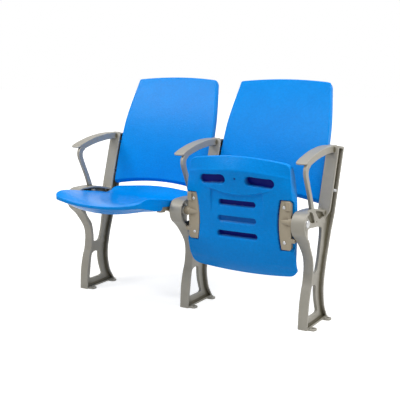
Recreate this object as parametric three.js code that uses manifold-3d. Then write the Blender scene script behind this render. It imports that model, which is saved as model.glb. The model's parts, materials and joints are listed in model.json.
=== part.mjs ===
// Two tip-up stadium seats side by side on three cast aluminium standards with armrests.
// Millimetres, X along the row, Y towards the back of the seats, Z up from the floor.
// The left seat is down and the right seat is folded up.
import * as THREE from 'three';
import { mergeVertices } from 'three/addons/utils/BufferGeometryUtils.js';
import Module from 'manifold-3d';

const wasm = await Module();
wasm.setup();

// Driving sizes of the row
const seatPitch = 500;
const standDepth = 190;
const pivotHeight = 394;
const pivotReach = 21;
const armHeight = 641;
const uprightSetback = 165;
const uprightDepth = 51;
const uprightLeanDegrees = 17.1;
const tipDegrees = 80;
const fitGap = 0.3;
const runningGap = 0.3;
const cutOverrun = 5;

// Sizes of the cast standard
const webThickness = 12;
const flangeThickness = 7;
const legFlangeWidth = 38;
const noseFlangeWidth = 52;
const uprightFlangeWidth = 48;
const noseRadius = 39;
const flangeWidenHeight = 277;
const legSteps = 14;
const noseSteps = 16;
const barSteps = 10;
const legOpeningSteps = 16;
const footPlateThickness = 6;
const footPlateWidth = 34;
const lugLength = 28;
const lugWidth = 30;
const lugThickness = 7;
const lugCornerShare = 0.33;
const lugHoleRadius = 5.5;
const lugSides = 20;
const bossRadius = 19;
const bossReach = 20;
const bossSides = 20;
const boreRadius = 12.5;
const pocketDepth = 8;
const gaugeHoleRadius = 3;
const gaugeHoleDepth = 5;
const capThickness = 6;
const rearTopDrop = 10;

// Sizes of the armrest and its strut
const armLength = 282;
const armDrop = 39;
const armWidth = 42;
const armThickness = 7;
const armRibThickness = 12;
const armRibDepth = 26;
const armTipTaper = 5;
const armRearTaper = 50;
const armSteps = 14;
const strutSteps = 10;

// Sizes of the seat shell, measured from the pivot
const seatHalfWidth = 218;
const seatFrontReach = 221;
const seatRearReach = 226;
const seatFrontBow = 24;
const seatRearBow = 16;
const seatFrontTaper = 9;
const seatTaperStart = 0.3;
const seatFrontCornerShare = 0.17;
const seatRearCornerShare = 0.14;
const seatDishPower = 2.2;
const shellDepth = 45;
const slotDepth = 15;
const slotWidth = 21;
const slotSides = 6;
const slotForwards = [51, -8, -65];
const slotLengths = [150, 156, 164];
const upperSlotLength = 104;
const upperSlotWidth = 29;
const upperSlotForward = 134;
const upperSlotSpacing = 190;
const upperSlotTiltDegrees = 5;

// Sizes of the seat's end brackets
const bracketTiltDegrees = 6.3;
const bracketThickness = 6;
const bracketSink = 7.5;
const bracketInner = 163;
const bracketBow = 10;
const bracketFront = 76;
const bracketRear = 103;
const bracketCorner = 12;
const bracketSteps = 8;
const bracketWallThickness = 10;
const bracketWallHeight = 15.5;
const bracketWallInset = 8;
const bracketMargin = 3;
const collarRadius = 16;
const collarReach = 8.5;
const journalRadius = 10;
const journalEndGap = 3;
const roundSides = 20;
const fingerBehind = 66;
const fingerLength = 15;
const fingerLow = 8;
const fingerHigh = 25.6;
const fingerRootLow = 4;
const fingerNeck = 5;
const fingerReach = 24;
const fingerShellGap = 1;

// Sizes of the rubber stop buffers
const bufferSide = 3.4;
const bufferWidth = 16;
const bufferGap = 0.5;

// Sizes of the pivot bushes and end caps
const bushFlangeRadius = 16;
const bushFlangeThickness = 2;
const bushEndGap = 2;
const capHeadRadius = 14;
const capHeadThickness = 5;

// Sizes of the screws
const plateScrewRadius = 2.5;
const plateScrewHeadRadius = 6;
const plateScrewHeadHeight = 3;
const plateScrewLength = 17;
const plateScrewForward = 52;
const plateScrewBehind = 76;
const plateScrewInset = 22;
const screwSides = 12;

// Sizes of the studs, nuts, spacers and pegs that hold a back
const studRadius = 5;
const studRise = 82;
const studSetback = 38;
const studGrip = 28;
const studTail = 17;
const nutRadius = 8.5;
const nutHeight = 8;
const nutSides = 6;
const spacerRadius = 8;
const backBossRadius = 10;
const backBossReach = 3;
const pegRadius = 6;
const pegRise = 206;
const pegSetback = 27;
const pegDepth = 4;
const pegRoot = 24;

// Sizes of the back shell
const backRise = 53;
const backHeight = 428;
const backCrown = 10;
const backArch = 22;
const backHalfWidth = 222;
const backThickness = 35;
const backTopThickness = 27;
const backDish = 10;
const backInset = 10;
const backLeanReach = 158;
const backSetbackSag = 8;
const backTopCornerShare = 0.15;
const backBottomCornerShare = 0.12;

// Materials by their finish
const finishes = {
  castAluminium: { color: 0xa09e98, roughness: 0.45, metalness: 0.6 },
  mouldedShell: { color: 0x0082e6, roughness: 0.5, metalness: 0.0 },
  castBracket: { color: 0x8f8474, roughness: 0.5, metalness: 0.6 },
  nylon: { color: 0xd8d6cf, roughness: 0.55, metalness: 0.0 },
  zincSteel: { color: 0xc9cacc, roughness: 0.35, metalness: 0.9 },
  rubber: { color: 0x1c1c1e, roughness: 0.85, metalness: 0.0 },
};

const pivotY = -pivotReach;
const backBottom = pivotHeight + backRise;
const backTop = backBottom + backHeight;
const webHalf = webThickness / 2;
const leanRadians = THREE.MathUtils.degToRad(uprightLeanDegrees);
const leanSlope = Math.tan(leanRadians);
const assembly = new THREE.Group();

// Turns a three.js geometry into a solid that can be cut and joined.
function toSolid(geometry) {
  const bare = geometry.index ? geometry.toNonIndexed() : geometry.clone();
  bare.deleteAttribute('normal');
  bare.deleteAttribute('uv');
  const merged = mergeVertices(bare);
  return new wasm.Manifold(new wasm.Mesh({
    numProp: 3,
    vertProperties: new Float32Array(merged.attributes.position.array),
    triVerts: new Uint32Array(merged.index.array),
  }));
}

// Gives the solid back as a geometry with flat faces.
function toGeometry(solid) {
  const mesh = solid.getMesh();
  const geometry = new THREE.BufferGeometry();
  geometry.setAttribute('position', new THREE.BufferAttribute(mesh.vertProperties, 3));
  geometry.setIndex(new THREE.BufferAttribute(mesh.triVerts, 1));
  const flat = geometry.toNonIndexed();
  flat.computeVertexNormals();
  return flat;
}

// Joins a list of solids into one.
function join(solids) {
  return solids.reduce((whole, piece) => whole.add(piece));
}

// Cuts each tool in a list from a solid.
function cut(solid, tools) {
  return tools.reduce((whole, tool) => whole.subtract(tool), solid);
}

// Places one named mesh with its finish.
function addMesh(parent, name, solid, finish) {
  const mesh = new THREE.Mesh(toGeometry(solid), new THREE.MeshStandardMaterial(finishes[finish]));
  mesh.name = name;
  parent.add(mesh);
  return mesh;
}

// A smooth line through a few points of the side view.
function smoothLine(points, steps) {
  const curve = new THREE.SplineCurve(points.map(([y, z]) => new THREE.Vector2(y, z)));
  return curve.getPoints(steps).map((point) => [point.x, point.y]);
}

// A plate of the side view outline, from one X to another.
function sidePlate(outline, fromX, toX) {
  const shape = new THREE.Shape(outline.map(([y, z]) => new THREE.Vector2(y, z)));
  const geometry = new THREE.ExtrudeGeometry(shape, { depth: toX - fromX, bevelEnabled: false });
  const turn = new THREE.Matrix4().makeBasis(
    new THREE.Vector3(0, 1, 0),
    new THREE.Vector3(0, 0, 1),
    new THREE.Vector3(1, 0, 0),
  );
  geometry.applyMatrix4(turn);
  geometry.translate(fromX, 0, 0);
  return toSolid(geometry);
}

// A plate of the plan outline, from one Z to another.
function planPlate(outline, fromZ, toZ) {
  const shape = new THREE.Shape(outline.map(([x, y]) => new THREE.Vector2(x, y)));
  const geometry = new THREE.ExtrudeGeometry(shape, { depth: toZ - fromZ, bevelEnabled: false });
  geometry.translate(0, 0, fromZ);
  return toSolid(geometry);
}

// A box between two corners.
function block(low, high) {
  const geometry = new THREE.BoxGeometry(high[0] - low[0], high[1] - low[1], high[2] - low[2]);
  geometry.translate((low[0] + high[0]) / 2, (low[1] + high[1]) / 2, (low[2] + high[2]) / 2);
  return toSolid(geometry);
}

// A turned piece on the X axis, from pairs of X and radius.
function turned(profile, sides) {
  const points = profile.map(([x, radius]) => new THREE.Vector2(radius, x));
  const geometry = new THREE.LatheGeometry(points, sides);
  geometry.rotateZ(-Math.PI / 2);
  return toSolid(geometry);
}

// Mirrors a solid left to right.
function mirrored(solid) {
  return solid.mirror([1, 0, 0]);
}

// A round rod on the X axis.
function rod(fromX, toX, radius, sides) {
  return turned([[fromX, 0], [fromX, radius], [toX, radius], [toX, 0]], sides);
}

// A side view line moved towards its right-hand side.
function offsetLine(line, distance) {
  return line.map(([y, z], i) => {
    const before = line[Math.max(i - 1, 0)];
    const after = line[Math.min(i + 1, line.length - 1)];
    const alongY = after[0] - before[0];
    const alongZ = after[1] - before[1];
    const length = Math.hypot(alongY, alongZ);
    return [y + (alongZ / length) * distance, z - (alongY / length) * distance];
  });
}

// A strip that follows a side view line, thick towards its right-hand side, with its own width at each point.
function strip(line, thickness, lefts, rights) {
  const count = line.length;
  const positions = [];
  const inner = offsetLine(line, thickness);
  line.forEach(([y, z], i) => {
    positions.push(lefts[i], y, z, rights[i], y, z, rights[i], ...inner[i], lefts[i], ...inner[i]);
  });
  const faces = [];
  for (let i = 0; i + 1 < count; i += 1) {
    for (let side = 0; side < 4; side += 1) {
      const a = i * 4 + side;
      const b = i * 4 + ((side + 1) % 4);
      faces.push(a, b, a + 4, b, b + 4, a + 4);
    }
  }
  const end = (count - 1) * 4;
  faces.push(0, 2, 1, 0, 3, 2);
  faces.push(end, end + 1, end + 2, end, end + 2, end + 3);
  const geometry = new THREE.BufferGeometry();
  geometry.setAttribute('position', new THREE.Float32BufferAttribute(positions, 3));
  geometry.setIndex(faces);
  return toSolid(geometry);
}

// A closed shell from rings of equal count, with a point at each end.
function ringShell(startPoint, rings, endPoint) {
  const count = rings[0].length;
  const positions = [...startPoint];
  rings.forEach((ring) => ring.forEach((point) => positions.push(...point)));
  positions.push(...endPoint);
  const faces = [];
  const last = rings.length * count + 1;
  for (let j = 0; j < count; j += 1) {
    const next = (j + 1) % count;
    faces.push(0, 1 + j, 1 + next);
    for (let i = 0; i + 1 < rings.length; i += 1) {
      const a = 1 + i * count + j;
      const b = 1 + i * count + next;
      faces.push(a, a + count, b, b, a + count, b + count);
    }
    const base = 1 + (rings.length - 1) * count;
    faces.push(last, base + next, base + j);
  }
  const geometry = new THREE.BufferGeometry();
  geometry.setAttribute('position', new THREE.Float32BufferAttribute(positions, 3));
  geometry.setIndex(faces);
  return toSolid(geometry);
}

// A square from -1 to 1 with round corners, counterclockwise, with its own corner size on each half.
function roundedSquare(upperCorner, lowerCorner) {
  const ring = [];
  [[1, 1], [-1, 1], [-1, -1], [1, -1]].forEach(([signX, signY], quarter) => {
    const radius = signY > 0 ? upperCorner : lowerCorner;
    for (let i = 0; i < ringCornerPoints; i += 1) {
      const angle = (Math.PI / 2) * (quarter + i / (ringCornerPoints - 1));
      ring.push([
        signX * (1 - radius) + radius * Math.cos(angle),
        signY * (1 - radius) + radius * Math.sin(angle),
      ]);
    }
    const start = ring[ring.length - 1];
    const nextRadius = quarter === 0 || quarter === 3 ? upperCorner : lowerCorner;
    const end = [
      [-1 + nextRadius, 1], [-1, -1 + nextRadius], [1 - nextRadius, -1], [1, 1 - nextRadius],
    ][quarter];
    for (let i = 1; i <= ringSidePoints; i += 1) {
      const share = i / (ringSidePoints + 1);
      ring.push([
        THREE.MathUtils.lerp(start[0], end[0], share),
        THREE.MathUtils.lerp(start[1], end[1], share),
      ]);
    }
  });
  return ring;
}

// Reads a table of places and values with straight steps between them.
function tableValue(table, place) {
  const clamped = Math.min(Math.max(place, table[0][0]), table[table.length - 1][0]);
  const next = Math.max(table.findIndex(([at]) => at >= clamped), 1);
  const [lowAt, lowValue] = table[next - 1];
  const [highAt, highValue] = table[next];
  return lowValue + ((clamped - lowAt) / (highAt - lowAt)) * (highValue - lowValue);
}

// Places along the sloping face of a stop buffer, as shares of its length.
const bufferShares = [0, 0.25, 0.5, 0.75, 1];
// Points of a ring on each corner and on each side.
const ringCornerPoints = 5;
const ringSidePoints = 7;
// Rings of the seat shell, as shares of its plan outline, and the height of its rim between the two faces.
const seatUnderRingShares = [0.2, 0.42, 0.62, 0.74, 0.82, 0.88, 0.935, 0.975];
const seatTopRingShares = [0.985, 0.95, 0.9, 0.82, 0.7, 0.5, 0.25];
const seatRimShare = 0.45;
// Rings of the back shell, as shares of its front view outline, and the depths of its rim
// between the two faces.
const backFrontRingShares = [0.25, 0.5, 0.7, 0.84, 0.92, 0.96];
const backRearRingShares = [0.985, 0.9, 0.7, 0.4];
const backRimShares = [0.35, 0.88];
// Half width of the back: shares of its height and of its greatest half width.
const backHalfShares = [
  [0, 1], [0.45, 1], [0.59, 0.985], [0.73, 0.95], [0.825, 0.92], [0.918, 0.888], [1, 0.865],
];

// Outlines of the cast standard, as shares of the sizes they follow

// Front face of the front leg: shares of the stand depth and of the pivot height.
const legFrontShares = [
  [-0.005, -0.05], [0.016, 0.127], [0.042, 0.236], [0.105, 0.350], [0.163, 0.419], [0.195, 0.497],
  [0.205, 0.546], [0.195, 0.609], [0.163, 0.660], [0.105, 0.706], [0.026, 0.761], [-0.074, 0.825],
];
// Round nose about the pivot: shares of the nose radius.
const noseShares = [
  [-0.28, -1.36], [-0.64, -1.05], [-0.90, -0.64], [-1, -0.15], [-0.95, 0.28], [-0.74, 0.67],
  [-0.41, 0.92], [0, 1.03],
];
// Top of the bar behind the nose: shares of the way to the upright and of the nose radius.
const barTopShares = [[0.28, 1.03], [0.5, 0.95], [0.70, 0.77], [0.84, 0.62], [1.02, 0.36]];
// Front face of the rear flange below the upright: shares of the stand depth and of the pivot height.
const legRearShares = [
  [1.040, -0.05], [0.832, 0.096], [0.763, 0.190], [0.732, 0.292], [0.747, 0.393], [0.779, 0.459],
  [0.842, 0.571], [0.942, 0.706], [1.026, 0.843],
];
// Upper opening of the leg: shares of the stand depth and of the pivot height, front side then rear side.
const upperFrontShares = [
  [0.360, 0.497], [0.358, 0.543], [0.332, 0.635], [0.289, 0.703], [0.179, 0.772], [0.105, 0.838],
  [0.085, 0.900],
];
const upperRearShares = [
  [0.745, 0.896], [0.738, 0.802], [0.705, 0.728], [0.668, 0.637], [0.630, 0.574], [0.560, 0.497],
];
const upperTopShares = [[0.12, 0.928], [0.35, 0.922], [0.62, 0.908]];
// Lower opening of the leg, in the same shares.
const lowerFrontShares = [
  [0.195, 0.096], [0.200, 0.157], [0.221, 0.228], [0.247, 0.297], [0.284, 0.355], [0.33, 0.371],
];
const lowerRearShares = [[0.520, 0.365], [0.526, 0.287], [0.552, 0.221], [0.599, 0.152], [0.630, 0.091]];
// Blind pockets in the bar: shares of the way from the pivot to the upright and of the nose radius.
const frontPocketShares = [[0.21, 0.72], [0.39, 0.67], [0.50, -0.26], [0.38, -0.26], [0.27, 0.12]];
const rearPocketShares = [[0.56, 0.60], [0.80, 0.46], [0.90, 0.10], [0.95, -0.10], [0.79, -0.23], [0.66, 0]];
const gaugeHoleShare = [0.66, -0.42];
// Top face of the armrest from its tip: shares of the arm length and of the arm drop.
const armTopShares = [
  [0, 1], [0.108, 0.72], [0.235, 0.474], [0.360, 0.28], [0.470, 0.154], [0.590, 0.064], [0.720, 0], [1, 0],
];
// Strut under the armrest, front side and rear side: shares of the arm length behind the tip,
// and of the height from the pivot to the top of the armrest.
const strutFrontShares = [
  [0.226, 0.13], [0.160, 0.320], [0.110, 0.441], [0.057, 0.559], [0.018, 0.656], [0.007, 0.729],
  [0.026, 0.790], [0.060, 0.832],
];
const strutRearShares = [
  [0.304, 0.13], [0.228, 0.340], [0.174, 0.466], [0.128, 0.575], [0.096, 0.664], [0.094, 0.713],
  [0.106, 0.753], [0.142, 0.778],
];

// Places a share of the stand depth and of the pivot height.
function legPoint([depthShare, heightShare]) {
  return [depthShare * standDepth, heightShare * pivotHeight];
}

// Places a share of the nose radius about the pivot.
function nosePoint([depthShare, heightShare]) {
  return [pivotY + depthShare * noseRadius, pivotHeight + heightShare * noseRadius];
}

// Places a share of the way from the pivot to the upright.
function barPoint([depthShare, heightShare]) {
  return [pivotY + depthShare * (uprightSetback - pivotY), pivotHeight + heightShare * noseRadius];
}

// Front face of the upright at a height.
function uprightY(z) {
  return uprightSetback + (z - pivotHeight) * leanSlope;
}

const armTipY = uprightY(armHeight) - armLength + uprightDepth / 2;

// Places a share of the arm length and of the height above the pivot.
function strutPoint([lengthShare, heightShare]) {
  return [armTipY + lengthShare * armLength, pivotHeight + heightShare * (armHeight - pivotHeight)];
}

// Places a share of the arm length and of the arm drop.
function armPoint([lengthShare, dropShare]) {
  return [armTipY + lengthShare * armLength, armHeight - dropShare * armDrop];
}

const legLine = smoothLine(
  [...legFrontShares.map(legPoint), ...noseShares.map(nosePoint)],
  legSteps + noseSteps,
);
const barLine = smoothLine(
  [nosePoint(noseShares[noseShares.length - 1]), ...barTopShares.map(barPoint)],
  barSteps,
);
const frontLine = [...legLine, ...barLine.slice(1)];
const rearTopHeight = armHeight - rearTopDrop;
const rearLegLine = [
  ...smoothLine(legRearShares.map(legPoint), legSteps),
  [uprightY(pivotHeight) + uprightDepth, pivotHeight],
  [uprightY(rearTopHeight) + uprightDepth, rearTopHeight],
];

// Half width of the front flange at a height on the leg and round the nose.
function legHalfWidth([y, z]) {
  const rise = THREE.MathUtils.smoothstep(z, flangeWidenHeight, pivotHeight - noseRadius);
  const noseHalf = THREE.MathUtils.lerp(legFlangeWidth, noseFlangeWidth, rise) / 2;
  const back = THREE.MathUtils.smoothstep(y, pivotY, uprightSetback);
  return THREE.MathUtils.lerp(noseHalf, uprightFlangeWidth / 2, back * rise);
}

// Builds one cast standard about its own middle plane.
function standardSolid() {
  const upperOpening = [
    ...smoothLine(upperFrontShares.map(legPoint), legOpeningSteps / 2),
    ...upperTopShares.map(legPoint),
    ...smoothLine(upperRearShares.map(legPoint), legOpeningSteps / 2),
  ];
  const lowerOpening = [
    ...smoothLine(lowerFrontShares.map(legPoint), legOpeningSteps / 2),
    ...smoothLine(lowerRearShares.map(legPoint), legOpeningSteps / 2),
  ];
  const topFront = [uprightY(armHeight), armHeight];
  const topRear = rearLegLine[rearLegLine.length - 1];
  const insideFlange = flangeThickness / 2;
  const webOutline = [
    ...offsetLine(frontLine, insideFlange),
    [topFront[0] + insideFlange, topFront[1]],
    ...offsetLine(rearLegLine, insideFlange).toReversed(),
  ];
  const openings = [upperOpening, lowerOpening].map(
    (outline) => sidePlate(outline, -webHalf - cutOverrun, webHalf + cutOverrun),
  );
  const web = cut(sidePlate(webOutline, -webHalf, webHalf), openings);

  const frontHalves = frontLine.map(legHalfWidth);
  const frontFlange = strip(frontLine, flangeThickness, frontHalves.map((half) => -half), frontHalves);
  const uprightHalf = uprightFlangeWidth / 2;
  const uprightFront = sidePlate([
    [uprightY(pivotHeight), pivotHeight],
    topFront,
    [topFront[0] + flangeThickness, armHeight],
    [uprightY(pivotHeight) + flangeThickness, pivotHeight],
  ], -uprightHalf, uprightHalf);
  const rearHalves = rearLegLine.map(([, z]) => THREE.MathUtils.lerp(
    legFlangeWidth / 2,
    uprightHalf,
    THREE.MathUtils.smoothstep(z, flangeWidenHeight, pivotHeight + noseRadius),
  ));
  const rearFlange = strip(rearLegLine, flangeThickness, rearHalves.map((half) => -half), rearHalves);
  const topPlate = sidePlate([
    topFront,
    [topRear[0] + flangeThickness, topRear[1]],
    [topRear[0] + flangeThickness - capThickness * leanSlope, topRear[1] - capThickness],
    [topFront[0] - capThickness * leanSlope, armHeight - capThickness],
  ], -uprightHalf, uprightHalf);

  const footHalf = footPlateWidth / 2;
  const rearFootY = standDepth;
  const footPlate = block([-footHalf, 0, 0], [footHalf, rearFootY, footPlateThickness]);
  const lugs = [lugWidth / 2 + flangeThickness, rearFootY - lugWidth].map((middleY) => footLug(middleY));

  const boss = rod(-bossReach, bossReach, bossRadius, bossSides).translate([0, pivotY, pivotHeight]);
  const bore = rod(-bossReach - cutOverrun, bossReach + cutOverrun, boreRadius, bossSides)
    .translate([0, pivotY, pivotHeight]);

  const pockets = [frontPocketShares, rearPocketShares].map((shares) => sidePlate(
    shares.map(barPoint),
    webHalf - pocketDepth,
    webHalf + cutOverrun,
  ));
  const [gaugeY, gaugeZ] = barPoint(gaugeHoleShare);
  const gaugeHole = rod(webHalf - gaugeHoleDepth, webHalf + cutOverrun, gaugeHoleRadius, screwSides)
    .translate([0, gaugeY, gaugeZ]);

  const flanges = [frontFlange, uprightFront, rearFlange, topPlate];
  const body = join([web, ...flanges, footPlate, ...lugs, armSolid(), boss]);
  const underFloor = block([-seatPitch, -standDepth, -pivotHeight], [seatPitch, 2 * standDepth, 0]);
  return cut(body, [underFloor, bore, ...pockets, gaugeHole, ...backHoles()]);
}

// A foot lug with its anchor hole, reaching out to the right at a place along the foot.
function footLug(middleY) {
  const rootX = footPlateWidth / 2 - flangeThickness;
  const tipX = footPlateWidth / 2 + lugLength;
  const corner = lugWidth * lugCornerShare;
  const outline = [
    [rootX, middleY - lugWidth / 2],
    [tipX - corner, middleY - lugWidth / 2],
    [tipX, middleY - lugWidth / 2 + corner],
    [tipX, middleY + lugWidth / 2 - corner],
    [tipX - corner, middleY + lugWidth / 2],
    [rootX, middleY + lugWidth / 2],
  ];
  const reach = lugThickness + 2 * cutOverrun;
  const hole = new THREE.CylinderGeometry(lugHoleRadius, lugHoleRadius, reach, lugSides);
  hole.rotateX(Math.PI / 2);
  hole.translate(tipX - lugWidth / 2, middleY, lugThickness / 2);
  return planPlate(outline, 0, lugThickness).subtract(toSolid(hole));
}

// The armrest plate, its rib and the strut, in one piece.
function armSolid() {
  const topLine = smoothLine(armTopShares.map(armPoint), armSteps);
  const right = armRibThickness - webHalf;
  const lefts = topLine.map(([y]) => {
    const reach = y - armTipY;
    const tip = armTipTaper * (1 - THREE.MathUtils.smoothstep(reach, 0, armWidth / 2));
    const rear = THREE.MathUtils.smoothstep(reach, armLength - armRearTaper, armLength - armRearTaper / 2);
    return THREE.MathUtils.lerp(right - armWidth + tip, -uprightFlangeWidth / 2, rear);
  });
  const plate = strip(topLine, armThickness, lefts, topLine.map(() => right));
  const outer = smoothLine(strutFrontShares.map(strutPoint), strutSteps);
  const inner = smoothLine(strutRearShares.map(strutPoint), strutSteps);
  const ribLine = topLine.filter(([y]) => y > outer[strutSteps][0]);
  const ribUnder = ribLine.map(([y, z]) => [y, z - armRibDepth]).filter(([y]) => y > inner[strutSteps][0]);
  const outline = [...outer, ...ribLine, ...ribUnder.toReversed(), ...inner.toReversed()];
  const rib = sidePlate(outline, right - armRibThickness, right);
  return plate.add(rib);
}

// Moves a piece made along X to the line of a back's studs.
function atStud(solid) {
  const z = pivotHeight + studRise;
  return solid.translate([0, uprightY(z) + studSetback, z]);
}

// Moves a piece made along X to the line of a back's pegs.
function atPeg(solid) {
  const z = pivotHeight + pegRise;
  return solid.translate([0, uprightY(z) + pegSetback, z]);
}

// The stud hole through the web and the two blind sockets for the pegs.
function backHoles() {
  const reach = webHalf + cutOverrun;
  const studHole = rod(-reach, reach, studRadius + fitGap, screwSides);
  const sockets = [[-reach, pegDepth - webHalf], [webHalf - pegDepth, reach]].map(
    ([fromX, toX]) => atPeg(rod(fromX, toX, pegRadius + fitGap, screwSides)),
  );
  return [atStud(studHole), ...sockets];
}

// Seat shell

// Heights of the shell's surfaces over the pivot, by the distance in front of it.
// Places are shares of the front or rear reach, heights are shares of the shell depth.
const topSideShares = [
  [-1, 0.62], [-0.90, 0.50], [-0.78, 0.20], [-0.66, 0.12], [-0.53, 0.24], [-0.35, 0.42], [-0.09, 0.64],
  [0.05, 0.76], [0.32, 1.0], [0.59, 1.22], [0.74, 1.27], [0.84, 1.20], [0.90, 1.06], [1, 0.95],
];
const topMiddleShares = [
  [-1, 0.84], [-0.90, 0.42], [-0.78, 0.12], [-0.66, -0.04], [-0.53, -0.09], [-0.27, -0.02], [0, 0.13],
  [0.27, 0.31], [0.54, 0.49], [0.81, 0.60], [1, 0.56],
];
const underSideShares = [
  [-1, 0.22], [-0.90, 0.04], [-0.80, -0.08], [-0.73, -0.24], [-0.64, -0.31], [-0.50, -0.37], [-0.37, -0.35],
  [-0.23, -0.25], [0, -0.13], [0.30, 0.03], [0.57, 0.20], [0.70, 0.34], [0.79, 0.56], [1, 0.80],
];
const underMiddleShares = [
  [-1, 0.14], [-0.90, -0.16], [-0.80, -0.40], [-0.64, -0.56], [-0.50, -0.65], [-0.37, -0.65], [-0.23, -0.55],
  [0, -0.43], [0.30, -0.29], [0.57, -0.20], [0.68, -0.22], [0.81, -0.25], [0.90, 0], [1, 0.34],
];

// Share of the reach for a distance in front of the pivot.
function reachShare(forward) {
  return forward > 0 ? forward / seatFrontReach : forward / seatRearReach;
}

// Half width of the shell at a distance in front of the pivot.
function seatHalf(forward) {
  const front = THREE.MathUtils.smoothstep(reachShare(forward), seatTaperStart, 1);
  return seatHalfWidth - seatFrontTaper * front;
}

// Height of a shell surface at a place in the plan, from its middle and side tables.
function shellHeight(middleShares, sideShares, x, forward) {
  const across = Math.min(Math.abs(x) / seatHalf(forward), 1);
  const place = reachShare(forward);
  const middle = tableValue(middleShares, place);
  const side = tableValue(sideShares, place);
  return shellDepth * (middle + (side - middle) * across ** seatDishPower);
}

// A ring of the shell's plan outline, drawn in by a share.
function seatRing(share) {
  return roundedSquare(seatFrontCornerShare, seatRearCornerShare).map(([across, along]) => {
    const isFront = along > 0;
    const bow = (isFront ? seatFrontBow : -seatRearBow) * across ** 2 * along ** 2;
    const reach = along * (isFront ? seatFrontReach : seatRearReach) - bow;
    return [share * across * seatHalf(reach), share * reach];
  });
}

// The shell in its own frame: X across, -Y towards the front, Z up from the pivot.
function seatShell() {
  const top = (share) => seatRing(share).map(([x, forward]) => [
    x, -forward, shellHeight(topMiddleShares, topSideShares, x, forward),
  ]);
  const under = (share) => seatRing(share).map(([x, forward]) => [
    x, -forward, shellHeight(underMiddleShares, underSideShares, x, forward),
  ]);
  const rim = seatRing(1).map(([x, forward]) => {
    const low = shellHeight(underMiddleShares, underSideShares, x, forward);
    const high = shellHeight(topMiddleShares, topSideShares, x, forward);
    return [x, -forward, low + seatRimShare * (high - low)];
  });
  const rings = [...seatUnderRingShares.map(under), rim, ...seatTopRingShares.map(top)];
  const lowest = shellHeight(underMiddleShares, underSideShares, 0, 0);
  const highest = shellHeight(topMiddleShares, topSideShares, 0, 0);
  return ringShell([0, 0, lowest], rings, [0, 0, highest]);
}

// A long hole with round ends in the plan of the shell.
function slotCutter(middleX, forward, length, width, tiltDegrees) {
  const outline = [];
  const straight = (length - width) / 2;
  [1, -1].forEach((end) => {
    for (let i = 0; i <= slotSides; i += 1) {
      const angle = -Math.PI / 2 + (Math.PI * i) / slotSides;
      outline.push([
        end * (straight + (width / 2) * Math.cos(angle)),
        end * (width / 2) * Math.sin(angle),
      ]);
    }
  });
  const floorZ = shellHeight(underMiddleShares, underSideShares, middleX, forward) + slotDepth;
  return planPlate(outline, -shellDepth - cutOverrun, floorZ)
    .rotate([0, 0, tiltDegrees])
    .translate([middleX, -forward, 0]);
}

// All weight-saving pockets of the shell's underside.
function slotCutters() {
  const long = slotForwards.map((forward, i) => slotCutter(0, forward, slotLengths[i], slotWidth, 0));
  const upper = [-1, 1].map((side) => slotCutter(
    side * upperSlotSpacing / 2,
    upperSlotForward,
    upperSlotLength,
    upperSlotWidth,
    side * upperSlotTiltDegrees,
  ));
  return [...long, ...upper];
}

// Seat end bracket, made for the seat's right-hand side and mirrored for the left

const bracketOuter = seatHalfWidth;
const bracketFloor = -bracketSink;

// Plan outline of the bracket's plate, grown by a margin.
function plateOutline(margin) {
  const outline = [];
  for (let i = 0; i <= bracketSteps; i += 1) {
    const share = i / bracketSteps;
    const forward = -bracketRear + share * (bracketFront + bracketRear);
    const bow = bracketBow * (2 * share - 1) ** 2;
    outline.push([bracketInner + bow - margin, -forward + Math.sign(1 - 2 * share) * margin]);
  }
  outline.push([bracketOuter + margin, -bracketFront - margin]);
  outline.push([bracketOuter + margin, bracketRear + margin - bracketCorner / 2]);
  outline.push([bracketOuter + margin - bracketCorner / 2, bracketRear + margin]);
  return outline;
}

// Tilts a piece of the bracket about the pivot so that it follows the shell's underside.
function tilted(solid) {
  return solid.rotate([-bracketTiltDegrees, 0, 0]);
}

// Room in the shell for the bracket.
function bracketRoom() {
  const plateTop = bracketFloor + bracketThickness + fitGap;
  const plate = tilted(planPlate(plateOutline(bracketMargin), -shellDepth, plateTop));
  const wall = tilted(block(
    [bracketOuter - bracketWallThickness - fitGap, -bracketFront - bracketMargin, -shellDepth],
    [bracketOuter + cutOverrun, bracketRear + bracketMargin, bracketFloor + bracketWallHeight + fitGap],
  ));
  const collar = rod(
    bracketOuter - bracketWallThickness - fitGap,
    bracketOuter + cutOverrun,
    collarRadius + bracketMargin,
    roundSides,
  );
  return join([plate, wall, collar]);
}

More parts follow.
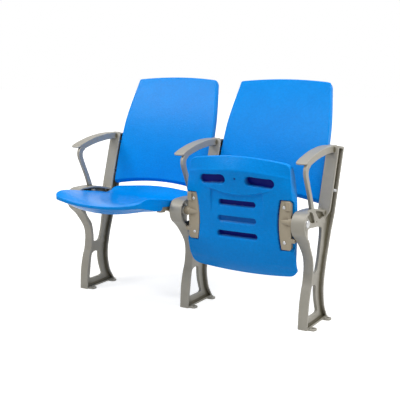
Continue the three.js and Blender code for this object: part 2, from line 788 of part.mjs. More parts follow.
// The cast bracket with its journal and stop finger.
function bracketSolid() {
  const plate = tilted(planPlate(plateOutline(0), bracketFloor, bracketFloor + bracketThickness));
  const wall = tilted(block(
    [bracketOuter - bracketWallThickness, -bracketFront + bracketWallInset, bracketFloor],
    [bracketOuter, bracketRear - bracketWallInset, bracketFloor + bracketWallHeight],
  ));
  const collarEnd = bracketOuter + collarReach;
  const journalEnd = seatPitch / 2 - journalEndGap;
  const journal = turned([
    [bracketOuter - bracketWallThickness, 0],
    [bracketOuter - bracketWallThickness, collarRadius],
    [collarEnd, collarRadius],
    [collarEnd, journalRadius],
    [journalEnd, journalRadius],
    [journalEnd, 0],
  ], roundSides);
  const fingerFrontY = fingerBehind - fingerLength / 2;
  const fingerRearY = fingerBehind + fingerLength / 2;
  const neckX = bracketOuter + fingerShellGap;
  const root = block(
    [bracketOuter - bracketWallThickness, fingerFrontY, -bracketWallHeight],
    [neckX + fingerNeck, fingerRearY, -fingerRootLow],
  );
  const neck = block(
    [neckX, fingerFrontY, -bracketWallHeight],
    [neckX + fingerNeck, fingerRearY, fingerHigh],
  );
  const finger = block(
    [neckX, fingerFrontY, fingerLow],
    [bracketOuter + fingerReach, fingerRearY, fingerHigh],
  );
  const holes = plateScrewPlaces().map(([x, forward]) => tilted(
    screwHole(plateScrewRadius + fitGap, bracketThickness + 2 * cutOverrun)
      .translate([x, -forward, bracketFloor - cutOverrun]),
  ));
  return cut(join([plate, wall, journal, root, neck, finger]), holes);
}

// Places of the bracket's screws: distance across and distance in front of the pivot.
function plateScrewPlaces() {
  const x = bracketInner + plateScrewInset;
  return [[x, plateScrewForward], [x, -plateScrewBehind]];
}

// A round hole that runs up from zero.
function screwHole(radius, length) {
  return rod(0, length, radius, screwSides).rotate([0, -90, 0]);
}

// A screw with a domed head below zero and its shank above.
function plateScrew() {
  const head = plateScrewHeadRadius;
  const height = plateScrewHeadHeight;
  return turned([
    [-height, 0], [-height, head * 0.5], [-height * 0.6, head * 0.9], [0, head],
    [0, plateScrewRadius], [plateScrewLength, plateScrewRadius], [plateScrewLength, 0],
  ], screwSides).rotate([0, -90, 0]);
}

// Places the bracket's screws just clear of its face.
function plateScrewSolids() {
  return plateScrewPlaces().map(([x, forward]) => tilted(
    plateScrew().translate([x, -forward, bracketFloor - fitGap]),
  ));
}

// Room in the shell for the screws' shanks.
function plateScrewRoom() {
  return plateScrewPlaces().map(([x, forward]) => tilted(
    screwHole(plateScrewRadius + fitGap, plateScrewLength + fitGap)
      .translate([x, -forward, bracketFloor]),
  ));
}

// The rubber sleeve on the stop finger: its top meets the bar and its sloping face meets the folded leg.
function bufferSolid() {
  const outerX = bracketOuter + fingerReach - fitGap;
  const innerX = outerX - bufferWidth;
  const frontY = fingerBehind - fingerLength / 2;
  const rearY = fingerBehind + fingerLength / 2;
  const high = barUndersideAt(rearY + bufferSide);
  const flange = foldedFlange();
  const lowFace = bufferShares.map((share) => {
    const behind = THREE.MathUtils.lerp(frontY - bufferSide, rearY + bufferSide, share);
    return [behind, tableValue(flange, behind)];
  });
  const sleeve = sidePlate([
    ...lowFace,
    [rearY + bufferSide, high],
    [frontY - bufferSide, high],
  ], innerX, outerX);
  const hole = block(
    [innerX - cutOverrun, frontY - fitGap, fingerLow - fitGap],
    [outerX + cutOverrun, rearY + fitGap, fingerHigh + fitGap],
  );
  return sleeve.subtract(hole);
}

// Height over the pivot that is free under the bar, at a distance behind the pivot.
function barUndersideAt(behind) {
  const underside = offsetLine(barLine, flangeThickness + bufferGap);
  return tableValue(underside, pivotY + behind) - pivotHeight;
}

// Inner face of the front flange as the folded seat meets it: distance behind the pivot and height over it.
function foldedFlange() {
  const tip = THREE.MathUtils.degToRad(tipDegrees);
  return offsetLine(legLine, flangeThickness + bufferGap)
    .map(([y, z]) => [y - pivotY, z - pivotHeight])
    .map(([y, z]) => [y * Math.cos(tip) - z * Math.sin(tip), y * Math.sin(tip) + z * Math.cos(tip)])
    .filter(([behind]) => behind > noseRadius)
    .toReversed();
}

// Pivot bush and end cap, made on the X axis with the boss face at zero

// A flanged bush whose flange lies on the negative side.
function bushSolid() {
  const depth = bossReach - bushEndGap;
  const outer = boreRadius - fitGap;
  const inner = journalRadius + runningGap;
  return turned([
    [-fitGap - bushFlangeThickness, inner],
    [-fitGap - bushFlangeThickness, bushFlangeRadius],
    [-fitGap, bushFlangeRadius],
    [-fitGap, outer],
    [depth, outer],
    [depth, inner],
    [-fitGap - bushFlangeThickness, inner],
  ], roundSides);
}

// A cap with a low domed head on the negative side and a plug in the bore.
function capSolid() {
  const plug = boreRadius - fitGap;
  return turned([
    [-capHeadThickness, 0],
    [-capHeadThickness, capHeadRadius * 0.7],
    [-capHeadThickness * 0.6, capHeadRadius * 0.95],
    [-fitGap, capHeadRadius],
    [-fitGap, plug],
    [bossReach - bushEndGap, plug],
    [bossReach - bushEndGap, 0],
  ], roundSides);
}

// Back shell

// Setback of the back's front face at a share of its height.
function backFront(share) {
  const sag = backSetbackSag * Math.sin(Math.PI * share);
  return uprightY(backBottom) + backInset + share * backLeanReach - sag;
}

// A ring of the back's outline in the front view, drawn in by a share.
function backRing(share) {
  const middleZ = (backTop + backBottom) / 2;
  const halfHeight = backHeight / 2;
  return roundedSquare(backTopCornerShare, backBottomCornerShare).map(([across, along]) => {
    const half = backHalfWidth * tableValue(backHalfShares, (along + 1) / 2);
    const bow = (along > 0 ? backCrown : backArch) * across ** 2 * along ** 2;
    return [share * across * half, middleZ + share * (along * halfHeight - bow)];
  });
}

// Thickness of the back at a share of its height.
function backThick(heightShare) {
  return THREE.MathUtils.lerp(backThickness, backTopThickness, Math.max(heightShare, 0) ** 2);
}

// The shell of the back, from its front face to its rear face.
function backShell() {
  const face = (share, depthShare) => backRing(share).map(([x, z]) => {
    const heightShare = (z - backBottom) / backHeight;
    const dish = backDish * (1 - Math.min(Math.abs(x) / backHalfWidth, 1) ** 2);
    return [x, backFront(heightShare) + dish + depthShare * backThick(heightShare), z];
  });
  const rings = [
    ...backFrontRingShares.map((share) => face(share, 0)),
    ...backRimShares.map((depthShare) => face(1, depthShare)),
    ...backRearRingShares.map((share) => face(share, 1)),
  ];
  const middleZ = (backTop + backBottom) / 2;
  const middleY = backFront(1 / 2) + backDish;
  return ringShell([0, middleY, middleZ], rings, [0, middleY + backThick(1 / 2), middleZ]);
}

// The finished back with its stud bosses, its pegs and its stud holes.
function backSolid() {
  const bossEnd = backHalfWidth + backBossReach;
  const pegEnd = seatPitch / 2 - webHalf + pegDepth - fitGap;
  const boss = atStud(rod(bossEnd - studGrip, bossEnd, backBossRadius, roundSides));
  const peg = atPeg(rod(backHalfWidth - pegRoot, pegEnd, pegRadius, roundSides));
  const holeRadius = studRadius + fitGap;
  const hole = atStud(rod(bossEnd - studGrip + cutOverrun, bossEnd + cutOverrun, holeRadius, screwSides));
  const grown = join([backShell(), boss, mirrored(boss), peg, mirrored(peg)]);
  return cut(grown, [hole, mirrored(hole)]);
}

// A stud between two places on the X axis.
function studSolid(fromX, toX) {
  return atStud(rod(fromX, toX, studRadius, screwSides));
}

// A ring on the stud's line, between two places on the X axis.
function studRing(fromX, toX, radius, sides) {
  const hole = rod(fromX - cutOverrun, toX + cutOverrun, studRadius + fitGap, screwSides);
  return atStud(rod(fromX, toX, radius, sides).subtract(hole));
}

// Assembly

const standards = [
  { side: 'left', x: -seatPitch },
  { side: 'middle', x: 0 },
  { side: 'right', x: seatPitch },
];
standards.forEach(({ side, x }) => {
  const holder = new THREE.Group();
  holder.position.set(x, 0, 0);
  assembly.add(holder);
  addMesh(holder, `standard_${side}`, standardSolid(), 'castAluminium');
});

const seats = [
  { side: 'left', x: -seatPitch / 2, tip: 0 },
  { side: 'right', x: seatPitch / 2, tip: tipDegrees },
];
const bracket = bracketSolid();
const shell = cut(seatShell(), [
  ...slotCutters(),
  bracketRoom(),
  mirrored(bracketRoom()),
  ...plateScrewRoom(),
  ...plateScrewRoom().map(mirrored),
]);
seats.forEach(({ side, x, tip }) => {
  const holder = new THREE.Group();
  holder.position.set(x, pivotY, pivotHeight);
  holder.rotation.x = -THREE.MathUtils.degToRad(tip);
  assembly.add(holder);
  addMesh(holder, `seat_shell_${side}`, shell, 'mouldedShell');
  [['inner', side === 'left' ? 1 : -1], ['outer', side === 'left' ? -1 : 1]].forEach(([end, sign]) => {
    const placed = (solid) => (sign > 0 ? solid : mirrored(solid));
    addMesh(holder, `seat_bracket_${side}_${end}`, placed(bracket), 'castBracket');
    addMesh(holder, `stop_buffer_${side}_${end}`, placed(bufferSolid()), 'rubber');
    plateScrewSolids().forEach((screw, i) => {
      addMesh(holder, `bracket_screw_${side}_${end}_${['front', 'rear'][i]}`, placed(screw), 'zincSteel');
    });
  });

  const fixed = new THREE.Group();
  fixed.position.set(x, 0, 0);
  assembly.add(fixed);
  addMesh(fixed, `back_shell_${side}`, backSolid(), 'mouldedShell');
  const bush = bushSolid().translate([seatPitch / 2 - bossReach, pivotY, pivotHeight]);
  const spacer = studRing(
    backHalfWidth + backBossReach + fitGap,
    seatPitch / 2 - webHalf - fitGap,
    spacerRadius,
    roundSides,
  );
  [['left', mirrored], ['right', (solid) => solid]].forEach(([end, placed]) => {
    addMesh(fixed, `pivot_bush_${side}_${end}`, placed(bush), 'nylon');
    addMesh(fixed, `back_spacer_${side}_${end}`, placed(spacer), 'zincSteel');
  });
});

const studEnd = seatPitch / 2 - backHalfWidth - backBossReach + studGrip - cutOverrun - fitGap;
addMesh(assembly, 'back_stud_middle', studSolid(-studEnd, studEnd), 'zincSteel');
[['left', -seatPitch, (solid) => solid], ['right', seatPitch, mirrored]].forEach(([side, x, placed]) => {
  const holder = new THREE.Group();
  holder.position.set(x, 0, 0);
  assembly.add(holder);
  const cap = capSolid().translate([-bossReach, pivotY, pivotHeight]);
  const nut = studRing(-webHalf - fitGap - nutHeight, -webHalf - fitGap, nutRadius, nutSides);
  addMesh(holder, `pivot_cap_${side}`, placed(cap), 'zincSteel');
  addMesh(holder, `back_stud_${side}`, placed(studSolid(-webHalf - studTail, studEnd)), 'zincSteel');
  addMesh(holder, `back_nut_${side}`, placed(nut), 'zincSteel');
});

// Sets the origin on the floor, under the middle of the whole row.
const bounds = new THREE.Box3().setFromObject(assembly, true);
const middle = bounds.getCenter(new THREE.Vector3());
assembly.position.set(-middle.x, -middle.y, -bounds.min.z);
assembly.updateMatrixWorld(true);

export default assembly;
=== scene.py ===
"""Two tip-up stadium seats side by side on three cast aluminium standards: the left seat is down and the
right one is folded.

Shapes are worked out in millimetres in the row's own frame: X along the row from the middle standard, Y back
from the face of the front foot, Z up from the floor. A seat has a frame of its own about its pivot line:
X across, "forward" in front of the pivot, Z over it. A side view is a line of (Y, Z), and a turned profile is
a line of (place along X, radius). A table whose name ends in SHARES holds shares of the sizes that the
comment over it names.
"""
import json
import math
from collections import namedtuple

import bmesh
import bpy
import numpy as np
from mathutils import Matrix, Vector
from mathutils.geometry import tessellate_polygon

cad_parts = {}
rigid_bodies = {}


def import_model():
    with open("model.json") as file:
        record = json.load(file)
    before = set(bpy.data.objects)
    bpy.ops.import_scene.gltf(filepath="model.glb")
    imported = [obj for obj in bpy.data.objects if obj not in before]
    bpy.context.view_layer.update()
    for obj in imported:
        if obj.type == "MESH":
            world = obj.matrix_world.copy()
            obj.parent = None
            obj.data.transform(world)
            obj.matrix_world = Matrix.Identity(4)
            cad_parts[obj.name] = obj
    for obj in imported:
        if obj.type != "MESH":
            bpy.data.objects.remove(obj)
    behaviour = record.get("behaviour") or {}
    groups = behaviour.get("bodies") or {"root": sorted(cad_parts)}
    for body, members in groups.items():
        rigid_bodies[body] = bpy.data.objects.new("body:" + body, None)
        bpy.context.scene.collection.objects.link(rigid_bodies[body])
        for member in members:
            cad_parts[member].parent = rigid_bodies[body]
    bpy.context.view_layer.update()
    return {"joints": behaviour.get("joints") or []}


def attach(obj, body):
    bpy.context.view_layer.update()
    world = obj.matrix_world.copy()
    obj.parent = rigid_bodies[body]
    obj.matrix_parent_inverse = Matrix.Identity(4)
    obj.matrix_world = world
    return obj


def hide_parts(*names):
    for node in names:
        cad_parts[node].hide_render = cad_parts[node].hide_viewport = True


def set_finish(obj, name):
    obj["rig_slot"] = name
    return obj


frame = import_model()

# Driving sizes of the row
PITCH, DEPTH, ARM_Z = 500.0, 190.0, 641.0
PIVOT_Y, PIVOT_Z, FOLD = -21.0, 394.0, math.radians(80)
UPRIGHT_FRONT, UPRIGHT_DEPTH, LEAN = 165.0, 51.0, math.tan(math.radians(17.1))
# Radius of the round nose about the pivot, thickness of the flanges, and half of the web's thickness
NOSE, FLANGE, WEB = 39.0, 7.0, 6.0
# Least length that anything is divided by
TINY = 1e-9

# From the row's own frame to the shared one, so that the left seat's pivot lies at its joint
JOINT = next(j for j in frame["joints"] if j["name"] == "seat_left_hinge")
SHIFT =np.array(JOINT["pos_m"]) * 1000 - np.array([-PITCH / 2, PIVOT_Y, PIVOT_Z])


# Lines and tables

def smoothstep(low, high, value):
    """0 below low, 1 above high, and between them 3t² - 2t³ of the share t of the way."""
    t = np.clip((value - low) / (high - low), 0, 1)
    return t * t * (3 - 2 * t)


def curve(points, steps, closed=False):
    """A line through the points: every stretch is the Catmull-Rom blend of the four points about it."""
    points = np.asarray(points, float)
    count = len(points)
    place = np.linspace(0, count if closed else count - 1, steps + 1)
    if closed:
        place = place[:-1]
    index = np.minimum(place.astype(int), count - (1 if closed else 2))
    t = (place - index)[:, None]
    wrap = (lambda i: i % count) if closed else (lambda i: np.clip(i, 0, count - 1))
    p0, p1, p2, p3 = (points[wrap(index + k)] for k in (-1, 0, 1, 2))
    v1, v2 = (p2 - p0) / 2, (p3 - p1) / 2
    return (2 * p1 - 2 * p2 + v1 + v2) * t ** 3 + (3 * p2 - 3 * p1 - 2 * v1 - v2) * t ** 2 + v1 * t + p1


def table(rows, place):
    """Reads a table smoothly: a cubic between two rows, with the table's own mean slope at each row."""
    at, value = np.array(rows, float).T
    slope = np.gradient(value, at)
    place = np.clip(place, at[0], at[-1])
    i = np.clip(np.searchsorted(at, place) - 1, 0, len(at) - 2)
    width = at[i + 1] - at[i]
    t = (place - at[i]) / width
    return ((2 * t ** 3 - 3 * t ** 2 + 1) * value[i] + (t ** 3 - 2 * t ** 2 + t) * width * slope[i]
            + (3 * t ** 2 - 2 * t ** 3) * value[i + 1] + (t ** 3 - t ** 2) * width * slope[i + 1])


def offset(line, distance):
    """The line moved to its right-hand side: each point goes along the normal of its neighbours' chord."""
    before, after = np.vstack([line[:1], line[:-1]]), np.vstack([line[1:], line[-1:]])
    along = after - before
    along /= np.linalg.norm(along, axis=1)[:, None]
    return line + distance * np.column_stack([along[:, 1], -along[:, 0]])


def circle(middle, radius, sides):
    """Points of a circle: the middle plus the radius along the cosine and the sine of each angle."""
    angle = np.linspace(0, 2 * math.pi, sides, endpoint=False)
    return np.column_stack([middle[0] + radius * np.cos(angle), middle[1] + radius * np.sin(angle)])


# Shells, each a pair of points and faces

# Shares of the way along a side wall at which it gets a ring of points, so that it shades flat
WALL_RING_SHARES = (0.08, 0.92)


def grid_faces(rows, columns, wrap=False):
    """Four-sided faces of a grid of points in row order; with wrap the last column meets the first."""
    index = np.arange(rows * columns).reshape(rows, columns)
    if wrap:
        index = np.column_stack([index, index[:, 0]])
    return np.stack([index[:-1, :-1], index[:-1, 1:], index[1:, 1:], index[1:, :-1]], -1).reshape(-1, 4)


def edge_loop(rows, columns):
    """Places of a grid's edge, once round."""
    index = np.arange(rows * columns).reshape(rows, columns)
    return np.concatenate([index[0, :-1], index[:-1, -1], index[-1, :0:-1], index[:0:-1, 0]])


def closed_pair(face, rear):
    """A closed shell from two grids of points: their edges are joined by a wall with its rings of points."""
    rows, columns = face.shape[:2]
    count = rows * columns
    loop = edge_loop(rows, columns)
    face, rear = face.reshape(-1, 3), rear.reshape(-1, 3)
    rings = [face[loop] + (rear[loop] - face[loop]) * share for share in WALL_RING_SHARES]
    points = np.concatenate([face, rear, *rings])
    inner_loops = [2 * count + i * len(loop) + np.arange(len(loop)) for i in range(len(rings))]
    loops = [loop, *inner_loops, loop + count]
    walls = [np.stack([a, np.roll(a, -1), np.roll(b, -1), b], -1) for a, b in zip(loops, loops[1:])]
    sheet = grid_faces(rows, columns)
    return points, [np.concatenate([sheet, sheet[:, ::-1] + count, *walls])]


def strip(line, thickness, lefts, rights):
    """A bar along a side view line: four corners at each point, carried from end to end and capped."""
    inner = offset(line, thickness)
    lefts, rights = (np.broadcast_to(np.asarray(side, float), len(line)) for side in (lefts, rights))
    corners = [(lefts, line), (rights, line), (rights, inner), (lefts, inner)]
    rows = np.stack([np.column_stack([x, path]) for x, path in corners], 1)
    last = 4 * (len(line) - 1)
    caps = np.array([[3, 2, 1, 0], [last, last + 1, last + 2, last + 3]])
    return rows.reshape(-1, 3), [np.concatenate([grid_faces(len(line), 4, True), caps])]


def plate(outline, holes, low, high, plan=False):
    """A flat plate from low to high across its outline: both faces are filled round the holes, and the
    outline and every hole are carried across as walls. A plan plate lies in X and Y, any other in Y and Z."""
    loops = [np.asarray(outline, float), *(np.asarray(hole, float) for hole in holes)]
    flat = np.concatenate(loops)
    count = len(flat)
    fill = np.array(tessellate_polygon([np.column_stack([loop, 0 * loop[:, 0]]).tolist() for loop in loops]))
    faces = []
    for place in (low, high):
        level = np.full(count, place)
        faces.append(np.column_stack([flat, level] if plan else [level, flat]))
    starts = np.cumsum([0] + [len(loop) for loop in loops])
    walls = []
    for start, end in zip(starts, starts[1:]):
        ring = np.arange(start, end)
        after = np.roll(ring, -1)
        walls.append(np.stack([ring, after, after + count, ring + count], -1))
    return np.concatenate(faces), [np.concatenate([fill[:, ::-1], fill + count]), np.concatenate(walls)]


def block(low, high):
    """A box between two corners."""
    (x0, y0, z0), (x1, y1, z1) = low, high
    return plate([(x0, y0), (x1, y0), (x1, y1), (x0, y1)], [], z0, z1, plan=True)


def turned(profile, sides, shape=None):
    """A profile of (place, radius) turned about the X axis: Y is radius times cosine, Z radius times sine.
    A shape gives place and radius again as functions of place, radius and angle."""
    place, radius = (column[:, None] for column in np.array(profile, float).T)
    angle = np.linspace(0, 2 * math.pi, sides, endpoint=False)[None, :]
    if shape:
        place, radius = shape(place, radius, angle)
    grid = np.stack(np.broadcast_arrays(place, radius * np.cos(angle), radius * np.sin(angle)), -1)
    return grid.reshape(-1, 3), [grid_faces(len(profile), sides, True)]


def thread(pitch, depth, core):
    """Shape of a helical thread: outside the core the radius falls to the root and back once each pitch, and
    the wave moves on by one pitch each turn."""
    def shape(place, radius, angle):
        wave = 0.5 + 0.5 * np.cos(2 * math.pi * place / pitch - angle)
        return place, radius - (radius > core) * depth * wave
    return shape


def moved(shell, by):
    """The shell moved by X, Y and Z."""
    return shell[0] + np.array(by, float), shell[1]


def tipped(shell, angle):
    """The shell turned about the X axis so that its front goes up: a plain turn in Y and Z."""
    x, y, z = shell[0].T
    c, s = math.cos(angle), math.sin(angle)
    return np.column_stack([x, y * c + z * s, z * c - y * s]), shell[1]


def mirrored(shell):
    """The shell with X turned round, and its faces too."""
    return shell[0] * [-1, 1, 1], [faces[:, ::-1] for faces in shell[1]]


def same(shell):
    """The shell as it is, for the side where nothing is mirrored."""
    return shell


def stood_up(shell):
    """A turned shell stood up, its X axis along Z."""
    x, y, z = shell[0].T
    return np.column_stack([z, y, x]), [faces[:, ::-1] for faces in shell[1]]


# Pieces

# Points closer than this many metres are one
MERGE = 1e-6
# How a bend becomes an attribute: its name, the rounds of averaging, its value on the flat, and its gain
# The first lightens edges as wear and painted highlight; the second is painted shade in inner corners
BEND_ATTRIBUTES = (("edge_wear_and_highlight", 2, 0.5, 4.0), ("shade", 30, -0.06, -52.0))
# Shares of a point's own bend and of its neighbours' mean in each round
OWN_SHARE, NEIGHBOUR_SHARE = 0.4, 0.6


def build(name, shells, sharp=None, recess_shade=None):
    """One object from closed shells: points shifted to the shared frame and turned to metres, doubles merged,
    faces outward. Where the share of painted shade is given it becomes an attribute, from 0 outside up to 1
    deep in a slot."""
    start, points, faces = 0, [], []
    for shell_points, shell_faces in shells:
        points.append(shell_points)
        faces += [row for part in shell_faces for row in (part + start).tolist()]
        start += len(shell_points)
    mesh = bpy.data.meshes.new(name)
    mesh.from_pydata(((np.concatenate(points) + SHIFT) / 1000).tolist(), [], faces)
    if recess_shade is not None:
        mesh.attributes.new("recess_shade", "FLOAT", "POINT").data.foreach_set("value", recess_shade.astype(np.float32))
    work = bmesh.new()
    work.from_mesh(mesh)
    bmesh.ops.remove_doubles(work, verts=work.verts, dist=MERGE)
    bmesh.ops.recalc_face_normals(work, faces=work.faces)
    work.to_mesh(mesh)
    work.free()
    return show(name, mesh, sharp)


def show(name, mesh, sharp=None):
    """Puts a mesh in the scene, smooth but for edges over the sharp angle in degrees."""
    mesh.shade_smooth()
    if sharp:
        mesh.set_sharp_from_angle(angle=math.radians(sharp))
    piece = bpy.data.objects.new(name, mesh)
    bpy.context.scene.collection.objects.link(piece)
    return piece


def finished(piece):
    """The piece's mesh with its modifiers worked in, as a mesh of its own."""
    graph = bpy.context.evaluated_depsgraph_get()
    mesh = bpy.data.meshes.new_from_object(piece.evaluated_get(graph))
    bpy.data.objects.remove(piece)
    return mesh


def cast(name, shells, grain, rounds, kept):
    """Melts overlapping shells into one skin, as the sand mould does: a voxel skin of the grain in
    millimetres, smoothed half way in each round so that inner corners get their fillets and edges their
    radius, and thinned to the kept share of its faces where it is flat."""
    piece = build(name, shells)
    skin = piece.modifiers.new("skin", "REMESH")
    skin.mode, skin.voxel_size, skin.use_smooth_shade = "VOXEL", grain / 1000, True
    soft = piece.modifiers.new("fillets", "SMOOTH")
    soft.factor, soft.iterations = 0.5, rounds
    thin = piece.modifiers.new("thinned", "DECIMATE")
    thin.ratio = kept
    return edge_light_and_corner_shade(finished(piece))


def vectors(mesh, name):
    """A vector of each of the mesh's points, its place or its normal, as an array."""
    values = np.empty(len(mesh.vertices) * 3, np.float32)
    mesh.vertices.foreach_get(name, values)
    return values.reshape(-1, 3)


def edge_light_and_corner_shade(mesh):
    """Adds two attributes: one from 0.5 on the flat towards 1 on rounded edges, which lightens them as wear
    and painted highlight, and one from 0 on the flat towards 1 in and near inner corners, which darkens them
    as painted shade. Both come from the distance of a point over the middle of its neighbours, along its
    normal, as a share of their spacing; for the shade it is averaged over some 12 mm."""
    count = len(mesh.vertices)
    co, normal = vectors(mesh, "co"), vectors(mesh, "normal")
    ends = np.empty(len(mesh.edges) * 2, np.int32)
    mesh.edges.foreach_get("vertices", ends)
    a, b = ends.reshape(-1, 2).T
    neighbours = np.bincount(a, minlength=count) + np.bincount(b, minlength=count)
    near = np.stack([(np.bincount(a, co[b, axis], count) + np.bincount(b, co[a, axis], count)) / neighbours
                     for axis in range(3)], -1)
    spacing = np.linalg.norm(co[a] - co[b], axis=1).mean()
    bend = ((co - near) * normal).sum(1) / spacing
    for name, rounds, level, gain in BEND_ATTRIBUTES:
        for _ in range(rounds):
            around = (np.bincount(a, bend[b], count) + np.bincount(b, bend[a], count)) / neighbours
            bend = OWN_SHARE * bend + NEIGHBOUR_SHARE * around
        values = np.clip(level + gain * bend, 0, 1).astype(np.float32)
        mesh.attributes.new(name, "FLOAT", "POINT").data.foreach_set("value", values)
    return mesh


def placed_copy(name, mesh, by):
    """A copy of a finished mesh, moved by millimetres, as a piece."""
    copy = mesh.copy()
    co = vectors(copy, "co") + np.array(by, np.float32) / 1000
    copy.vertices.foreach_set("co", co.ravel())
    copy.update()
    return show(name, copy)


# The cast standard

# Leg: shares of the stand's depth and of the pivot height
LEG_FRONT_SHARES = [(-0.005, -0.05), (0.016, 0.127), (0.042, 0.236), (0.105, 0.350), (0.163, 0.419),
                    (0.195, 0.497), (0.205, 0.546), (0.195, 0.609), (0.163, 0.660), (0.105, 0.706),
                    (0.026, 0.761), (-0.074, 0.825)]
LEG_REAR_SHARES = [(1.040, -0.05), (0.832, 0.096), (0.763, 0.190), (0.732, 0.292), (0.747, 0.393),
                   (0.779, 0.459), (0.842, 0.571), (0.942, 0.706), (1.026, 0.843)]
UPPER_OPENING_SHARES = [(0.360, 0.497), (0.358, 0.543), (0.332, 0.635), (0.289, 0.703), (0.179, 0.772),
                        (0.105, 0.838), (0.087, 0.890), (0.12, 0.928), (0.35, 0.922), (0.62, 0.908),
                        (0.735, 0.885), (0.738, 0.802), (0.705, 0.728), (0.668, 0.637), (0.630, 0.574),
                        (0.560, 0.497), (0.46, 0.480)]
LOWER_OPENING_SHARES = [(0.195, 0.100), (0.200, 0.157), (0.221, 0.228), (0.247, 0.297), (0.284, 0.355),
                        (0.36, 0.374), (0.46, 0.374), (0.520, 0.352), (0.526, 0.287), (0.552, 0.221),
                        (0.599, 0.152), (0.622, 0.097), (0.41, 0.088)]
# Nose: shares of its radius. Bar: shares of the way from pivot to upright, and of the nose's radius
NOSE_SHARES = [(-0.28, -1.36), (-0.64, -1.05), (-0.90, -0.64), (-1, -0.15), (-0.95, 0.28), (-0.74, 0.67),
               (-0.41, 0.92), (0, 1.03)]
BAR_SHARES = [(0.28, 1.03), (0.5, 0.95), (0.70, 0.77), (0.82, 0.62)]
# Armrest: shares of its length and drop. Strut: shares of that length, and of the height over the pivot
ARM_TOP_SHARES = [(0, 1), (0.108, 0.72), (0.235, 0.474), (0.360, 0.28), (0.470, 0.154), (0.590, 0.064),
                  (0.720, 0), (1, 0)]
STRUT_FRONT_SHARES = [(0.226, 0.13), (0.160, 0.320), (0.110, 0.441), (0.057, 0.559), (0.018, 0.656),
                      (0.007, 0.729), (0.026, 0.790), (0.060, 0.832)]
STRUT_REAR_SHARES = [(0.304, 0.13), (0.228, 0.340), (0.174, 0.466), (0.128, 0.575), (0.096, 0.664),
                     (0.094, 0.713), (0.106, 0.753), (0.142, 0.778)]

# Side view places in millimetres: the fillet from bar to upright, the pockets in the web, and a gauge hole
BAR_FILLET = [(151, 413.5), (160, 410.5), (167, 410), (171.8, 413.8), (174.4, 422), (177.2, 433.6)]
FRONT_POCKET = [(8, 418), (28, 425), (50, 420), (65, 403), (74, 381), (48, 384), (25, 397)]
REAR_POCKET = [(82, 419), (110, 420), (137, 415), (152, 403), (161, 391), (148, 388), (125, 385), (106, 394)]
GAUGE_HOLE, GAUGE_RADIUS = (93, 380), 3

# Half widths of the flanges on the leg, the nose and the bar, and where the leg's flanges begin to widen
LEG_HALF, NOSE_HALF, BAR_HALF, FLARE_Z = 19, 26, 24, 277
# An open bar's flange has run out on its right side at this place
OPEN_BAR_Y = 6
# The upright's front flange starts narrow in the bar and is as wide as the bar's from WIDE_Z up
UPRIGHT_HEIGHTS, WIDE_Z = (372, 380, 390, 400, 410, 420), 414
# The web is cast in three layers: two skins, and a core that starts just before each skin ends. Its outline
# stops this far over the floor, and twice as far under the armrest's top
SKIN_THICK, CORE_START, WEB_INSET = 4.1, 3.9, 1
# Bores, as radii, and the boss round the pivot's
PIVOT_BORE, STUD_HOLE, PEG_HOLE, ANCHOR_HOLE = 12.5, 5.3, 6.3, 5.5
BOSS_HALF, BOSS_RADIUS, BOSS_BEVEL = 20, 19, 1
# Stud and peg: height over the pivot, and depth behind the upright's front face
STUD_OVER, STUD_BEHIND, PEG_OVER, PEG_BEHIND = 82, 38, 206, 27
# The upright ends lower at its rear, under a cap whose rear corner is this outline about that end
REAR_DROP, CAP_CORNER, CAP_SETBACK = 10, [(-6, 2), (0, -5), (-3, -8)], 2
FOOT_HALF, FOOT_THICK = 17, 6
# Lugs: inner end, outer end, half width, corner size, how far a corner's middle lies in, and thickness
LUG_IN, LUG_OUT, LUG_HALF, LUG_CORNER, LUG_CUT, LUG_THICK = 10, 45, 15, 10, 3, 7
LUG_PLACES, ANCHOR_X = (22, DEPTH - 30), 30
# Armrest: length, drop of its tip, left and right edge, the round tip, and the heel where its left edge
# draws in; the rib under it is sunk in the plate, starts clear of the strut's rear side and laps the upright
ARM_LENGTH, ARM_DROP, ARM_LEFT, ARM_RIGHT = 282, 39, -36, 6
TIP_ROUND, TIP_RIGHT_SHARE = 11, 0.6
HEEL_START, HEEL_LENGTH, HEEL_IN = 230, 26, 12
RIB_DEPTH, RIB_SINK, RIB_CLEAR, RIB_LAP = 25, 1, 1, 5
# A casting's skin: voxel in millimetres, rounds of smoothing, and the share of its faces that is kept
STANDARD_SKIN = (1.5, 5, 0.52)


def leg(shares):
    """Shares of the stand's depth and of the pivot height, as places in the side view."""
    return np.array(shares) * [DEPTH, PIVOT_Z]


def strut(shares):
    """Shares of the armrest's length and of its height over the pivot, as places in the side view."""
    return np.array(shares) * [ARM_LENGTH, ARM_Z - PIVOT_Z] + [ARM_TIP, PIVOT_Z]


def upright_front(z):
    """The upright's front face leans back by the tangent of its angle for each unit of height."""
    return UPRIGHT_FRONT + (z - PIVOT_Z) * LEAN


ARM_TIP = upright_front(ARM_Z) - ARM_LENGTH + UPRIGHT_DEPTH / 2
REAR_TOP_Z = ARM_Z - REAR_DROP
STUD_Z, PEG_Z = PIVOT_Z + STUD_OVER, PIVOT_Z + PEG_OVER
STUD_LINE = (0, upright_front(STUD_Z) + STUD_BEHIND, STUD_Z)
PEG_LINE = (0, upright_front(PEG_Z) + PEG_BEHIND, PEG_Z)
NOSE_LINE = np.array(NOSE_SHARES) * NOSE + [PIVOT_Y, PIVOT_Z]
BAR_LINE = np.array(BAR_SHARES) * [UPRIGHT_FRONT - PIVOT_Y, NOSE] + [PIVOT_Y, PIVOT_Z]
LEG_LINE = curve(np.vstack([leg(LEG_FRONT_SHARES), NOSE_LINE]), steps=150)


def front_line():
    """The standard's front in side view: leg and nose, bar, fillet, and the upright up to the armrest."""
    bar = curve(np.vstack([NOSE_LINE[-1:], BAR_LINE, BAR_FILLET]), steps=80)
    return np.vstack([LEG_LINE, bar[1:], [upright_front(ARM_Z), ARM_Z]])


